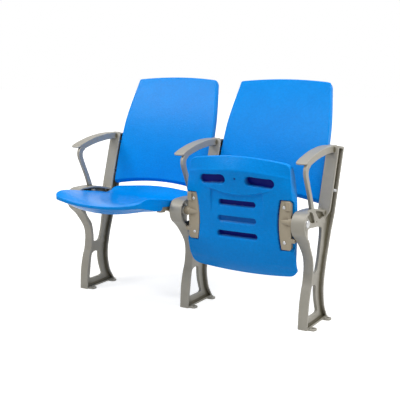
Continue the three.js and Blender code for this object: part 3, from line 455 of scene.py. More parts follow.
def rear_line():
    """The standard's rear in side view: the leg, and the upright's straight rear face."""
    join = [upright_front(PIVOT_Z) + UPRIGHT_DEPTH, PIVOT_Z]
    top = [upright_front(REAR_TOP_Z) + UPRIGHT_DEPTH, REAR_TOP_Z]
    return np.vstack([curve(np.vstack([leg(LEG_REAR_SHARES), join]), steps=70), top])


def web_shells(front, rear):
    """The web in three layers: the openings, the pivot's bore and the stud's hole go through all of them, the
    peg's socket is only in the skins, and the pockets leave the left skin standing as their floor."""
    outline = np.vstack([offset(front, FLANGE / 2), offset(rear, FLANGE / 2)[::-1]])
    outline[:, 1] = np.clip(outline[:, 1], WEB_INSET, ARM_Z - 2 * WEB_INSET)
    openings = [curve(leg(UPPER_OPENING_SHARES), steps=120, closed=True),
                curve(leg(LOWER_OPENING_SHARES), steps=90, closed=True)]
    bores = [circle((PIVOT_Y, PIVOT_Z), PIVOT_BORE, sides=48), circle(STUD_LINE[1:], STUD_HOLE, sides=24)]
    socket = circle(PEG_LINE[1:], PEG_HOLE, sides=24)
    pockets = [curve(FRONT_POCKET, steps=56, closed=True), curve(REAR_POCKET, steps=56, closed=True),
               circle(GAUGE_HOLE, GAUGE_RADIUS, sides=16)]
    return [
        plate(outline, [*openings, *bores, socket], -WEB, -WEB + SKIN_THICK),
        plate(outline, [*openings, *bores, *pockets], -WEB + CORE_START, WEB - CORE_START),
        plate(outline, [*openings, *bores, socket, *pockets], WEB - SKIN_THICK, WEB),
    ]


def flange_half(line):
    """Half width of the front flange: it widens up the leg to the nose, then narrows along the bar."""
    rise = smoothstep(FLARE_Z, PIVOT_Z - NOSE, line[:, 1])
    nose = LEG_HALF + (NOSE_HALF - LEG_HALF) * rise
    back = smoothstep(PIVOT_Y, UPRIGHT_FRONT, line[:, 0]) * rise
    return nose + (BAR_HALF - nose) * back


def flange_shells(front, rear, open_bar):
    """Flanges along the front, the upright's front face and the rear, and the cap on the upright. An open bar
    has no top flange on its right side, where no seat needs it as a stop."""
    front_half = flange_half(front)
    right_half = front_half
    if open_bar:
        past_nose = (front[:, 1] > PIVOT_Z) * smoothstep(PIVOT_Y, OPEN_BAR_Y, front[:, 0])
        right_half = front_half + (WEB - front_half) * past_nose
    rear_half = LEG_HALF + (BAR_HALF - LEG_HALF) * smoothstep(FLARE_Z, PIVOT_Z + NOSE, rear[:, 1])
    heights = np.array([*UPRIGHT_HEIGHTS, ARM_Z])
    upright = np.column_stack([upright_front(heights), heights])
    upright_right = WEB + (BAR_HALF - WEB) * smoothstep(heights[0], WIDE_Z, heights)
    top, back = front[-1, 0], rear[-1, 0] + FLANGE
    corner = [(back + y, REAR_TOP_Z + z) for y, z in CAP_CORNER]
    cap = [(top, ARM_Z), *corner, (top - CAP_SETBACK, ARM_Z - FLANGE)]
    return [
        strip(front, FLANGE, -front_half, right_half),
        strip(upright, FLANGE, -WEB, upright_right),
        strip(rear, FLANGE, -rear_half, rear_half),
        plate(cap, [], -BAR_HALF, BAR_HALF),
    ]


def foot_shells():
    """The foot plate, and at both of its ends a lug with round corners and an anchor hole."""
    side = [(LUG_OUT - LUG_CORNER, -LUG_HALF), (LUG_OUT - LUG_CUT, LUG_CUT - LUG_HALF),
            (LUG_OUT, LUG_CORNER - LUG_HALF)]
    outline = [(LUG_IN, -LUG_HALF), *side, *((x, -y) for x, y in side[::-1]), (LUG_IN, LUG_HALF)]
    lug = plate(outline, [circle((ANCHOR_X, 0), ANCHOR_HOLE, sides=32)], 0, LUG_THICK, plan=True)
    foot = block((-FOOT_HALF, 0, 0), (FOOT_HALF, DEPTH, FOOT_THICK))
    return [foot, *(moved(lug, (0, y, 0)) for y in LUG_PLACES)]


def boss_shell():
    """The round boss about the pivot's bore, with bevelled ends."""
    end = [(BOSS_HALF - BOSS_BEVEL, BOSS_RADIUS), (BOSS_HALF, BOSS_RADIUS - BOSS_BEVEL),
           (BOSS_HALF, PIVOT_BORE)]
    profile = [*((-x, radius) for x, radius in end[::-1]), *end, (-BOSS_HALF, PIVOT_BORE)]
    return moved(turned(profile, sides=64), (0, PIVOT_Y, PIVOT_Z))


def arm_shells():
    """The armrest plate, drawn in at its tip and its heel by quarter ellipses, and the rib under it that runs
    down into the strut."""
    line = curve(np.array(ARM_TOP_SHARES) * [ARM_LENGTH, -ARM_DROP] + [ARM_TIP, ARM_Z], steps=140)
    reach = line[:, 0] - ARM_TIP
    tip = TIP_ROUND * (1 - np.sqrt(1 - np.clip(1 - reach / TIP_ROUND, 0, 1) ** 2))
    heel = HEEL_IN * (1 - np.sqrt(1 - np.clip((reach - HEEL_START) / HEEL_LENGTH, 0, 1) ** 2))
    top = strip(line, FLANGE, ARM_LEFT + tip + heel, ARM_RIGHT - tip * TIP_RIGHT_SHARE)
    front, rear = (curve(strut(shares), steps=60) for shares in (STRUT_FRONT_SHARES, STRUT_REAR_SHARES))
    rib_top = line[line[:, 0] > front[-1, 0]] - [0, RIB_SINK]
    rib_low = rib_top - [0, RIB_DEPTH]
    rib_low = rib_low[rib_low[:, 0] > rear[-1, 0] + RIB_CLEAR]
    rib_low = rib_low[rib_low[:, 0] < upright_front(rib_low[:, 1]) + RIB_LAP]
    outline = np.vstack([front, rib_top, rib_low[::-1], rear[::-1]])
    return [top, plate(outline, [], -WEB, WEB)]


def standard_mesh(name, open_bar):
    """The casting at the middle of the row, melted from all of its parts and cut off at the floor."""
    front, rear = front_line(), rear_line()
    shells = [*web_shells(front, rear), *flange_shells(front, rear, open_bar), *foot_shells(), boss_shell(),
              *arm_shells()]
    for points, _ in shells:
        points[:, 2] = np.maximum(points[:, 2], 0)
    return cast(name, shells, *STANDARD_SKIN)


inner_standard, outer_standard = standard_mesh("casting", False), standard_mesh("open_casting", True)
STANDARDS = (("left", -PITCH, inner_standard), ("middle", 0, inner_standard),
             ("right", PITCH, outer_standard))
for side, x, standard in STANDARDS:
    piece = placed_copy(f"standard_casting_{side}", standard, (x, 0, 0))
    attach(piece, "frame")
    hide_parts(f"standard_{side}")
    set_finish(piece, "cast_aluminium")


# The moulded seat shell

# Half width at the seam, reach before and behind the pivot, and depth
SHELL_HALF, SHELL_FRONT, SHELL_REAR, SHELL_DEPTH = 218.0, 221.0, 226.0, 45.0
# Heights of its faces in the middle and at the sides, as shares of the depth at shares of the reach
TOP_SIDE_SHARES = [(-1, 0.62), (-0.90, 0.50), (-0.78, 0.20), (-0.66, 0.12), (-0.53, 0.24), (-0.35, 0.42),
                   (-0.09, 0.64), (0.05, 0.76), (0.32, 1.0), (0.59, 1.22), (0.74, 1.25), (0.84, 1.14),
                   (0.90, 1.02), (1, 0.95)]
TOP_MIDDLE_SHARES = [(-1, 0.84), (-0.90, 0.42), (-0.78, 0.12), (-0.66, -0.04), (-0.53, -0.09), (-0.27, -0.02),
                     (0, 0.13), (0.27, 0.31), (0.54, 0.49), (0.81, 0.60), (1, 0.56)]
UNDER_SIDE_SHARES = [(-1, 0.22), (-0.90, 0.04), (-0.80, -0.08), (-0.73, -0.24), (-0.64, -0.31),
                     (-0.50, -0.37), (-0.37, -0.35), (-0.23, -0.25), (0, -0.13), (0.30, 0.03), (0.57, 0.19),
                     (0.70, 0.29), (0.79, 0.37), (0.80, 0.38), (0.81, 0.405), (0.90, 0.53), (1, 0.66)]
UNDER_MIDDLE_SHARES = [(-1, 0.14), (-0.90, -0.16), (-0.80, -0.40), (-0.64, -0.56), (-0.50, -0.65),
                       (-0.37, -0.65), (-0.23, -0.55), (0, -0.45), (0.30, -0.33), (0.57, -0.26),
                       (0.68, -0.27), (0.79, -0.27), (0.80, -0.265), (0.81, -0.236), (0.90, 0.03), (1, 0.34)]
# Half widths in millimetres at shares of the reach, bow of both ends, edge radius, and corner radii at the
# front and the rear as shares of the half width
SEAT_HALVES = [(-1, 218), (0, 218), (0.3, 216), (0.55, 210), (0.8, 203), (1, 205)]
FRONT_BOW, REAR_BOW, SEAT_EDGE, SEAT_CORNER_SHARES = 24, -16, 3, (0.11, 0.14)
# The front rim bends up along a crease that bows back at its sides, as the front edge does
CREASE_BOW, CREASE_START, CREASE_END = 25, 100, 150
# Lines of the grid across and along, and in each rolled edge; the edge falls by no more than a share of the
# shell there, and leaves a least side wall
SEAT_LINES, EDGE_LINES, MOST_FALL_SHARE, LEAST_EDGE = (180, 184), 10, 0.4, 2

# The raised panel of the underside: its rise is full at PANEL_FULL, and it blends in over these widths
PANEL_HALF, PANEL_FRONT, PANEL_BOW, PANEL_REAR, PANEL_RISE, PANEL_FULL = 105, 86, 15, -16, 7, 90
SIDE_BLEND, REAR_BLEND, FRONT_BLEND = 2, 6, 1.2
# The fold line along the panel's bowed front, and where it fades out at its ends
FOLD_DEPTH, FOLD_WIDTH, FOLD_FADE = 2.2, 2.6, (138, 126)
# Long slots with a lip round each, and the vent between the two front ones
Slot = namedtuple("Slot", "across forward length width tilt depth")
SLOT_DEPTH, MIDDLE_DEPTH, SLOT_LIP, LIP_FADE, LEAST_WALL = 20, 12, 1.1, (4.2, 1.0), 3.5
SLOTS = [Slot(0, 51, 150, 21, 0, SLOT_DEPTH), Slot(0, -8, 156, 21, 0, MIDDLE_DEPTH),
         Slot(0, -65, 164, 21, 0, SLOT_DEPTH), Slot(95, 136, 108, 33, 5, SLOT_DEPTH),
         Slot(-95, 136, 108, 33, -5, SLOT_DEPTH)]
VENT, VENT_DEPTH, VENT_ROUND = (0, 145), 4, (5.2, 2.0)

# The end bracket under the shell, in the seat's frame: its plate, with a bowed inner edge, and its side wall
TILT, PLATE_FLOOR, PLATE_THICK = math.radians(6.3), -7.5, 6.0
PLATE_INNER, PLATE_OUTER, PLATE_FRONT, PLATE_REAR, PLATE_BOW = 163, 210, 76, -103, 10
PLATE_LENGTH, PLATE_GAP = PLATE_FRONT - PLATE_REAR, 3.8
WALL_INNER, WALL_FRONT, WALL_REAR, WALL_HEIGHT = 200, 68, -95, 15.5
# Screws of a bracket, across and forward
SCREWS = [(185, 52), (185, -76)]
# Room that the shell leaves over the bracket, at the ends of its plate and wall, and round its collar
ROOM_OVER, PLATE_ROOM, WALL_ROOM, WALL_ROOM_START, COLLAR_ROOM = 0.8, 2, 3, 206, 19.0
FAR_BELOW = -999.0
# Grid points this near to an edge are drawn to this distance from it
SLOT_NEAR, SLOT_STEP, PLATE_NEAR, PLATE_STEP, PLATE_DRAW_ROOM = 1.7, 1.25, 1.4, 0.8, 5


def seam_lines(count, roll):
    """Places from -1 to 1: even in the middle, and towards each end as the cosine of equal angles, so that
    the rolled edge has faces of equal size. The roll is the share that the edge takes."""
    edge = roll * (1 - np.cos(np.linspace(0, math.pi / 2, EDGE_LINES)))
    inner = np.linspace(-1 + roll, 1 - roll, count)[1:-1]
    return np.concatenate([edge - 1, inner, 1 - edge[::-1]])


def square_round(u, v, upper, lower):
    """Bends the outer lines of a square grid round its corners: a point is drawn in towards where its ray
    meets the corner's circle, by the eighth power of its share of the way out."""
    share = np.maximum(np.maximum(np.abs(u), np.abs(v)), TINY)
    a, b = np.abs(u) / share, np.abs(v) / share
    corner = np.where(v > 0, upper, lower)
    middle = 1 - corner
    square = a * a + b * b
    along = middle * (a + b) / square
    reach = along + np.sqrt(np.maximum(along ** 2 - (2 * middle ** 2 - corner ** 2) / square, 0))
    draw = np.where((a > middle) & (b > middle), np.minimum(reach, 1), 1)
    factor = 1 + (draw - 1) * share ** 8
    return u * factor, v * factor, share


def seat_height(middle, side, x, forward):
    """Height of a face of the shell: the middle table in the middle, rising to the side table with the
    distance across to the power 2.2."""
    place = np.where(forward > 0, forward / SHELL_FRONT, forward / SHELL_REAR)
    half = table(SEAT_HALVES, place)
    across = np.minimum(np.abs(x) / half, 1) ** 2.2
    low = table(middle, place)
    return SHELL_DEPTH * (low + (table(side, place) - low) * across)


def slot_line(x, forward, slot):
    """The nearest point of a long slot's middle line, the direction away from it, and the distance from the
    slot's outline: negative inside."""
    c, s = math.cos(math.radians(slot.tilt)), math.sin(math.radians(slot.tilt))
    dx, df = x - slot.across, forward - slot.forward
    straight = (slot.length - slot.width) / 2
    along = np.clip(dx * c - df * s, -straight, straight)
    near = np.stack([slot.across + along * c, slot.forward - along * s], -1)
    out = np.stack([x, forward], -1) - near
    reach = np.maximum(np.linalg.norm(out, axis=-1), TINY)
    return near, out / reach[..., None], reach - slot.width / 2


def plate_inner_edge(forward):
    """Where the pocket for the bracket's plate ends on its inner side: bowed as a square, and short of the
    plate by a gap that shows as a dark line, darkened further by painted shade on the pocket's floor."""
    return PLATE_INNER - PLATE_GAP + PLATE_BOW * (2 * (forward - PLATE_REAR) / PLATE_LENGTH - 1) ** 2


def drawn(away, near, step):
    """Distances from an edge, with those nearer than near set to one step inside or outside of it."""
    return np.where(np.abs(away) < near, np.where(away < 0, -step, step), away)


def drawn_to_slots(x, forward):
    """Draws grid points near a slot's outline to just inside or outside of it, so that the slot's wall runs
    evenly along the outline. Points near the inner edge of the bracket plate's pocket are drawn to it too."""
    for slot in SLOTS:
        near, out, away = slot_line(x, forward, slot)
        kept = drawn(away, SLOT_NEAR, SLOT_STEP) + slot.width / 2
        x, forward = np.moveaxis(near + out * kept[..., None], -1, 0)
    edge = plate_inner_edge(forward)
    kept = drawn(np.abs(x) - edge, PLATE_NEAR, PLATE_STEP) + edge
    beside = (forward > PLATE_REAR - PLATE_DRAW_ROOM) & (forward < PLATE_FRONT + PLATE_DRAW_ROOM)
    return np.where(beside, np.sign(x) * kept, x), forward


def bracket_room(x, forward):
    """Height up to which the bracket's plate, wall and collar need the shell to stay clear, and far below
    where there is none."""
    ax = np.abs(x)
    clear = np.full_like(x, FAR_BELOW)
    ramp = forward * math.tan(TILT)
    along_plate = (forward > PLATE_REAR - PLATE_ROOM) & (forward < PLATE_FRONT + PLATE_ROOM)
    over_plate = PLATE_FLOOR + PLATE_THICK + ROOM_OVER + ramp
    clear = np.where((ax > plate_inner_edge(forward)) & along_plate, over_plate, clear)
    along_wall = (forward > WALL_REAR - WALL_ROOM) & (forward < WALL_FRONT + WALL_ROOM)
    over_wall = PLATE_FLOOR + WALL_HEIGHT + ROOM_OVER + ramp
    clear = np.where((ax > WALL_ROOM_START) & along_wall, over_wall, clear)
    collar = np.sqrt(np.maximum(COLLAR_ROOM ** 2 - forward ** 2, 0))
    at_collar = (ax > WALL_ROOM_START) & (np.abs(forward) < COLLAR_ROOM)
    return np.where(at_collar, np.maximum(clear, collar), clear)


def edge_radius(share, half, radius):
    """How far a face falls at its edge: the radius less the height of a quarter circle over the distance
    from the edge."""
    inward = np.clip((1 - share) * half / radius, 0, 1)
    return radius * (1 - np.sqrt(inward * (2 - inward)))


def underside(x, forward, under, top):
    """The underside's relief over its plain height: the raised panel, which grows towards the front, a fold
    line with the section of a bell curve, the vent, and the slots with a lip round each, which stay short of
    the top by the least wall. Returns the height and each point's share of painted shade: 0 outside,
    1 in the vent and the full slots, and in a shallow slot its share of the full depth to the power 1.3."""
    past_fold = forward - PANEL_FRONT - PANEL_BOW * (x / PANEL_HALF) ** 2
    sides = smoothstep(PANEL_HALF + SIDE_BLEND, PANEL_HALF, np.abs(x))
    panel = sides * smoothstep(PANEL_REAR, PANEL_REAR + REAR_BLEND, forward)
    panel = panel * smoothstep(FRONT_BLEND, -FRONT_BLEND, past_fold)
    fold = np.exp(-(past_fold / FOLD_WIDTH) ** 2) * smoothstep(*FOLD_FADE, np.abs(x))
    vent = smoothstep(*VENT_ROUND, np.hypot(x - VENT[0], forward - VENT[1]))
    rise = PANEL_RISE * panel * smoothstep(PANEL_REAR, PANEL_FULL, forward)
    low = under + rise - FOLD_DEPTH * fold + VENT_DEPTH * vent
    # Painted shade: full in the vent, and in each slot by its depth
    recess_shade = vent
    for slot in SLOTS:
        away = slot_line(x, forward, slot)[2]
        middle = np.array(slot.across), np.array(float(slot.forward))
        floor = seat_height(UNDER_MIDDLE_SHARES, UNDER_SIDE_SHARES, *middle) + slot.depth
        low = low + SLOT_LIP * smoothstep(*LIP_FADE, away)
        low = np.where(away < 0, np.maximum(low, np.minimum(floor, top - LEAST_WALL)), low)
        # Painted shade in the slot, lighter in a shallow one
        recess_shade = np.maximum(recess_shade, (away < 0) * (slot.depth / SLOT_DEPTH) ** 1.3)
    return low, recess_shade


def seat_shell():
    """The blow-moulded shell: a top and an underside over one grid, both rounded at the edge, with a side
    wall between them, and a pocket in the underside for each bracket. Returns the shell and each point's
    share of painted shade, which darkens the slots, the vent and the pockets' floor where it shows beside
    the plate."""
    roll = SEAT_EDGE / SHELL_HALF
    u, v = np.meshgrid(*(seam_lines(count, roll) for count in SEAT_LINES), indexing="ij")
    across, along, share = square_round(u, v, *SEAT_CORNER_SHARES)
    bow = np.where(along > 0, FRONT_BOW, REAR_BOW) * across ** 2 * along ** 2
    forward = along * np.where(along > 0, SHELL_FRONT, SHELL_REAR) - bow
    x, forward = drawn_to_slots(across * table(SEAT_HALVES, forward / SHELL_FRONT), forward)
    top = seat_height(TOP_MIDDLE_SHARES, TOP_SIDE_SHARES, x, forward)
    crease = forward + CREASE_BOW * across ** 2 * smoothstep(CREASE_START, CREASE_END, forward)
    under = seat_height(UNDER_MIDDLE_SHARES, UNDER_SIDE_SHARES, x, crease)
    low, recess_shade = underside(x, forward, under, top)
    fall = np.minimum(edge_radius(share, SHELL_HALF, SEAT_EDGE), (top - under) * MOST_FALL_SHARE)
    room = bracket_room(x, forward)
    # Painted shade, as a dark shadow gap, on the pockets' floor beside the bracket plate
    recess_shade = np.maximum(recess_shade, (room > low + fall) & (np.abs(x) < WALL_INNER))
    low = np.maximum(low + fall, room)
    top = np.maximum(top - fall, low + LEAST_EDGE)
    shell = closed_pair(np.stack([x, -forward, top], -1), np.stack([x, -forward, low], -1))
    recess_shades = np.zeros(len(shell[0]))
    recess_shades[recess_shade.size:2 * recess_shade.size] = recess_shade.ravel()
    return shell, recess_shades


def seat_place(shell, side):
    """From the seat's frame to the row: the right seat is tipped up, and both are moved to their pivots."""
    x = -PITCH / 2 if side == "left" else PITCH / 2
    return moved(tipped(shell, FOLD if side == "right" else 0), (x, PIVOT_Y, PIVOT_Z))


shell, recess_shade = seat_shell()
for side in ("left", "right"):
    piece = build(f"seat_moulding_{side}", [seat_place(shell, side)], recess_shade=recess_shade)
    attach(piece, f"seat_{side}")
    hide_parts(f"seat_shell_{side}")
    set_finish(piece, "moulded_plastic")


# The seat's end brackets, with their screws and stop buffers

# The plate's corners are cut by this much at its front and its rear, and a pad hangs under its front end
FRONT_CUT, REAR_CUT = 4, 6
PAD_INNER, PAD_OUTER, PAD_FRONT, PAD_REAR, PAD_DEPTH, PAD_LAP = 192, 209, 75, 42, 6, 1
# Half cone, cut off at its top, and collar with journal, turned about the pivot line
CONE_PROFILE, CONE_TOP = [(168, 0), (168, 7.8), (204, 14.5), (210, 14.5), (210, 0)], -3
JOURNAL_PROFILE = [(202, 0), (202, 16), (225.5, 16), (226.5, 15), (226.5, 10), (246, 10), (247, 9), (247, 0)]
# The stop finger stands off the bracket on a neck with a root, behind the pivot
FINGER_FRONT, FINGER_REAR, FINGER_LOW, FINGER_HIGH = 58.5, 73.5, 8, 25.6
NECK_LEFT, NECK_RIGHT, NECK_LOW, FINGER_TIP = 219, 224, -15.5, 242
ROOT_HIGH = -4
# Radius of its screw holes, and its skin, given as the standard's is
BRACKET_HOLE = 2.8
BRACKET_SKIN = (1.1, 4, 0.6)
# The buffer on the finger: ends, front and rear, fit on the finger, gap to the flanges that it meets, edge
BUFFER_LEFT, BUFFER_RIGHT, BUFFER_FRONT, BUFFER_REAR = 225.7, 241.7, 55.1, 76.9
BUFFER_FIT, BUFFER_GAP, BUFFER_EDGE = 0.3, 0.5, 0.7
# Pan head: place of its flat face and its radius, gap under the head, the side, and the cross recess, whose
# arms fade out between two half widths and two reaches
HEAD_FACE, HEAD_FLAT, HEAD_SEAT = -3, 3.2, -0.3
HEAD_SIDE = [(-2.9, 3.8), (-2.6, 4.5), (-1.9, 5.4), (-0.8, 6), (0, 6), (0, 0)]
CROSS_DEPTH, CROSS_HALF, CROSS_REACH, FACE_LAYER = 1.8, (0.9, 0.5), (3.0, 2.6), 0.05
SHANK_START, SHANK_END, SHANK_RADIUS, SHANK_CORE = -0.2, 17, 2.5, 1
SHANK_PITCH, SHANK_THREAD, SHANK_STEPS = 1.4, 0.3, 48


def tilted(shell):
    """The shell tilted with the bracket, to follow the underside of the seat."""
    return tipped(shell, TILT)


def bracket_shells():
    """The cast end bracket: bowed plate with a pad under its front end, side wall, a half cone that widens
    from the plate to the collar, the collar with its journal, and the stop finger."""
    share = np.linspace(0, 1, 40)
    bowed = PLATE_INNER + PLATE_BOW * (2 * share - 1) ** 2
    edge = np.column_stack([bowed, -PLATE_REAR - share * PLATE_LENGTH])
    corners = np.array([(PLATE_OUTER - FRONT_CUT, -PLATE_FRONT), (PLATE_OUTER, FRONT_CUT - PLATE_FRONT),
                        (PLATE_OUTER, -PLATE_REAR - REAR_CUT), (PLATE_OUTER - REAR_CUT, -PLATE_REAR)])
    holes = [circle((x, -forward), BRACKET_HOLE, sides=20) for x, forward in SCREWS]
    base = plate(np.vstack([edge, corners]), holes, PLATE_FLOOR, PLATE_FLOOR + PLATE_THICK, plan=True)
    wall = block((WALL_INNER, -WALL_FRONT, PLATE_FLOOR), (PLATE_OUTER, -WALL_REAR, PLATE_FLOOR + WALL_HEIGHT))
    pad = block((PAD_INNER, -PAD_FRONT, PLATE_FLOOR - PAD_DEPTH),
                (PAD_OUTER, -PAD_REAR, PLATE_FLOOR + PAD_LAP))
    cone, cone_faces = turned(CONE_PROFILE, sides=64)
    cone[:, 2] = np.minimum(cone[:, 2], CONE_TOP)
    journal = turned(JOURNAL_PROFILE, sides=64)
    root = block((WALL_INNER, FINGER_FRONT, NECK_LOW), (NECK_RIGHT, FINGER_REAR, ROOT_HIGH))
    neck = block((NECK_LEFT, FINGER_FRONT, NECK_LOW), (NECK_RIGHT, FINGER_REAR, FINGER_HIGH))
    finger = block((NECK_LEFT, FINGER_FRONT, FINGER_LOW), (FINGER_TIP, FINGER_REAR, FINGER_HIGH))
    return [tilted(base), tilted(wall), tilted(pad), (cone, cone_faces), journal, root, neck, finger]


def bracket_piece(name, side, turn):
    """The bracket melted into one skin on its own side of the seat."""
    mesh = cast(name, [seat_place(turn(part), side) for part in bracket_shells()], *BRACKET_SKIN)
    return show(name, mesh)


def cross_recess(place, radius, angle):
    """Sinks the head's face inside a cross: within half an arm's width of one axis, and an arm's reach along
    it. Only the flat face sinks, the points within a thin layer of it."""
    y, z = np.abs(radius * np.cos(angle)), np.abs(radius * np.sin(angle))
    arms = [smoothstep(*CROSS_HALF, a) * smoothstep(*CROSS_REACH, b) for a, b in ((y, z), (z, y))]
    on_face = place < HEAD_FACE + FACE_LAYER
    return place + CROSS_DEPTH * np.maximum(*arms) * on_face, radius + 0 * angle


def screw_shells():
    """A pan head screw with a cross recess, and its threaded shank."""
    face = [(HEAD_FACE, radius) for radius in np.linspace(0, HEAD_FLAT, 17)]
    head = turned([*face, *HEAD_SIDE], 48, cross_recess)
    side = [(step * SHANK_PITCH / 4, SHANK_RADIUS) for step in range(SHANK_STEPS)]
    wave = thread(SHANK_PITCH, SHANK_THREAD, SHANK_CORE)
    shank = turned([(SHANK_START, 0), *side, (SHANK_END, 0)], 24, wave)
    return [stood_up(head), stood_up(shank)]


def buffer_shell():
    """The rubber sleeve on the stop finger: flat on top where it meets the bar, and sloping below to match
    the folded leg, with the finger's room through it."""
    flange = offset(LEG_LINE, FLANGE + BUFFER_GAP) - [PIVOT_Y, PIVOT_Z]
    c, s = math.cos(FOLD), math.sin(FOLD)
    folded = np.column_stack([flange[:, 0] * c - flange[:, 1] * s, flange[:, 0] * s + flange[:, 1] * c])
    folded = folded[folded[:, 0] > NOSE][::-1]
    behind = np.linspace(BUFFER_FRONT, BUFFER_REAR, 9)
    low = np.column_stack([behind, np.interp(behind, folded[:, 0], folded[:, 1])])
    bar = offset(curve(np.vstack([NOSE_LINE[-1:], BAR_LINE]), steps=50), FLANGE + BUFFER_GAP)
    high = np.interp(PIVOT_Y + BUFFER_REAR, bar[:, 0], bar[:, 1]) - PIVOT_Z
    outline = np.vstack([low, [(BUFFER_REAR, high), (BUFFER_FRONT, high)]])
    hole_front, hole_rear = FINGER_FRONT - BUFFER_FIT, FINGER_REAR + BUFFER_FIT
    hole_low, hole_high = FINGER_LOW - BUFFER_FIT, FINGER_HIGH + BUFFER_FIT
    hole = [(hole_front, hole_low), (hole_rear, hole_low), (hole_rear, hole_high), (hole_front, hole_high)]
    return plate(outline, [hole], BUFFER_LEFT, BUFFER_RIGHT)


sleeve, screw_parts = buffer_shell(), screw_shells()
for side in ("left", "right"):
    for end in ("inner", "outer"):
        sign, turn = (1, same) if (side == "left") == (end == "inner") else (-1, mirrored)
        bracket = bracket_piece(f"end_bracket_{side}_{end}", side, turn)
        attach(bracket, f"seat_{side}")
        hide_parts(f"seat_bracket_{side}_{end}")
        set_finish(bracket, "cast_bracket")
        rubber = build(f"rubber_stop_{side}_{end}", [seat_place(turn(sleeve), side)], 40)
        soft = rubber.modifiers.new("edges", "BEVEL")
        soft.width, soft.segments, soft.limit_method = BUFFER_EDGE / 1000, 3, "ANGLE"
        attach(rubber, f"seat_{side}")
        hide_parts(f"stop_buffer_{side}_{end}")
        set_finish(rubber, "buffer_rubber")
        for place, (x, forward) in zip(("front", "rear"), SCREWS):
            at = (sign * x, -forward, PLATE_FLOOR + HEAD_SEAT)
            shells = [seat_place(tilted(moved(part, at)), side) for part in screw_parts]
            screw = build(f"plate_screw_{side}_{end}_{place}", shells, 35)
            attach(screw, f"seat_{side}")
            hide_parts(f"bracket_screw_{side}_{end}_{place}")
            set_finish(screw, "zinc_steel")


# The moulded back shell

BACK_OVER, BACK_TALL, BACK_HALF = 53, 428.0, 222.0
BACK_LOW = PIVOT_Z + BACK_OVER
# Shares of the half width at shares of the height
BACK_WIDTH_SHARES = [(0, 1), (0.45, 1), (0.59, 0.985), (0.73, 0.95), (0.825, 0.92), (0.918, 0.888),
                     (1, 0.865)]
# Lines of the grid, bow of the upper and the lower end, and corner radii at the top and the bottom as shares
# of the half width
BACK_LINES, TOP_BOW, LOW_BOW = (120, 160), 10, 22
FACE_CORNER_SHARES, REAR_CORNER_SHARES = (0.03, 0.045), (0.125, 0.06)
# Front face: setback from the upright's front at its lower end, lean over the height, forward bow and dish
BACK_SETBACK, BACK_LEAN, BACK_BOW, BACK_DISH = 10, 158, 8, 10
EDGE_ROLL, FACE_EDGE, REAR_EDGE, CHAMFER_DEPTH, CHAMFER_HEIGHT = 4, 3, 6, 12, 14
LOW_THICK, TOP_THICK = 35, 27
BACK_BOSS_PROFILE = [(205, 0), (205, 10), (224, 10), (225, 9), (225, 5.3), (206, 5.3), (206, 0)]
PEG_PROFILE = [(200, 0), (200, 6), (246.7, 6), (247.7, 5), (247.7, 0)]


def back_outline(u, v, upper, lower):
    """X and Z of the back over a square grid, the share of the way out and the height over its lower end: the
    width follows the table up the height, the ends bow by the square of both shares, and the corners are
    rounded."""
    across, along, share = square_round(u, v, upper, lower)
    bow = np.where(along > 0, TOP_BOW, LOW_BOW) * across ** 2 * along ** 2
    x = across * BACK_HALF * table(BACK_WIDTH_SHARES, (along + 1) / 2)
    return x, BACK_LOW + BACK_TALL / 2 + along * BACK_TALL / 2 - bow, share, (along + 1) * BACK_TALL / 2


def back_face(x, z):
    """How far back the front face lies: it leans evenly over the height, bows forward as a half sine, and is
    dished by 1 less the square of the share across."""
    up = (z - BACK_LOW) / BACK_TALL
    return (upright_front(BACK_LOW) + BACK_SETBACK + up * BACK_LEAN - BACK_BOW * np.sin(math.pi * up)
            + BACK_DISH * (1 - np.minimum(np.abs(x) / BACK_HALF, 1) ** 2))


def back_shell():
    """The back: its front face has nearly square corners, a small edge radius and a chamfer along the bottom.
    The side wall runs from there to the rear face, whose corners are round, and the shell thins towards the
    top by the square of the height."""
    roll = EDGE_ROLL / BACK_HALF
    u, v = np.meshgrid(*(seam_lines(count, roll) for count in BACK_LINES), indexing="ij")
    x, z, share, above = back_outline(u, v, *FACE_CORNER_SHARES)
    chamfer = CHAMFER_DEPTH * np.clip(1 - above / CHAMFER_HEIGHT, 0, 1)
    face = back_face(x, z) + chamfer + edge_radius(share, BACK_HALF, FACE_EDGE)
    rear_x, rear_z, share, _ = back_outline(u, v, *REAR_CORNER_SHARES)
    thick = LOW_THICK + (TOP_THICK - LOW_THICK) * np.clip((rear_z - BACK_LOW) / BACK_TALL, 0, 1) ** 2
    rear = back_face(rear_x, rear_z) + thick - edge_radius(share, BACK_HALF, REAR_EDGE)
    return closed_pair(np.stack([x, face, z], -1), np.stack([rear_x, rear, rear_z], -1))


boss = moved(turned(BACK_BOSS_PROFILE, sides=48), STUD_LINE)
peg = moved(turned(PEG_PROFILE, sides=40), PEG_LINE)
back = back_shell()
for side, x in (("left", -PITCH / 2), ("right", PITCH / 2)):
    shells = [back, boss, mirrored(boss), peg, mirrored(peg)]
    piece = build(f"back_moulding_{side}", [moved(part, (x, 0, 0)) for part in shells], 50)
    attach(piece, "frame")
    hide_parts(f"back_shell_{side}")
    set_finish(piece, "moulded_plastic")


# Bushes, caps, studs, nuts and spacers

BUSH_PROFILE = [(-2.3, 10.3), (-2.3, 15.4), (-1.7, 16), (-0.3, 16), (-0.3, 12.2), (18, 12.2), (18, 10.3),
                (-2.3, 10.3)]
SPACER_PROFILE = [(225.3, 5.3), (225.3, 7.5), (225.8, 8), (243.2, 8), (243.7, 7.5), (243.7, 5.3),
                  (225.3, 5.3)]
NUT_PROFILE = [(-14.3, 5.3), (-14.3, 7.2), (-13.3, 8.5), (-7.3, 8.5), (-6.3, 7.2), (-6.3, 5.3), (-14.3, 5.3)]
# Distance of the nut's flats from its middle
NUT_FLAT = 7.36
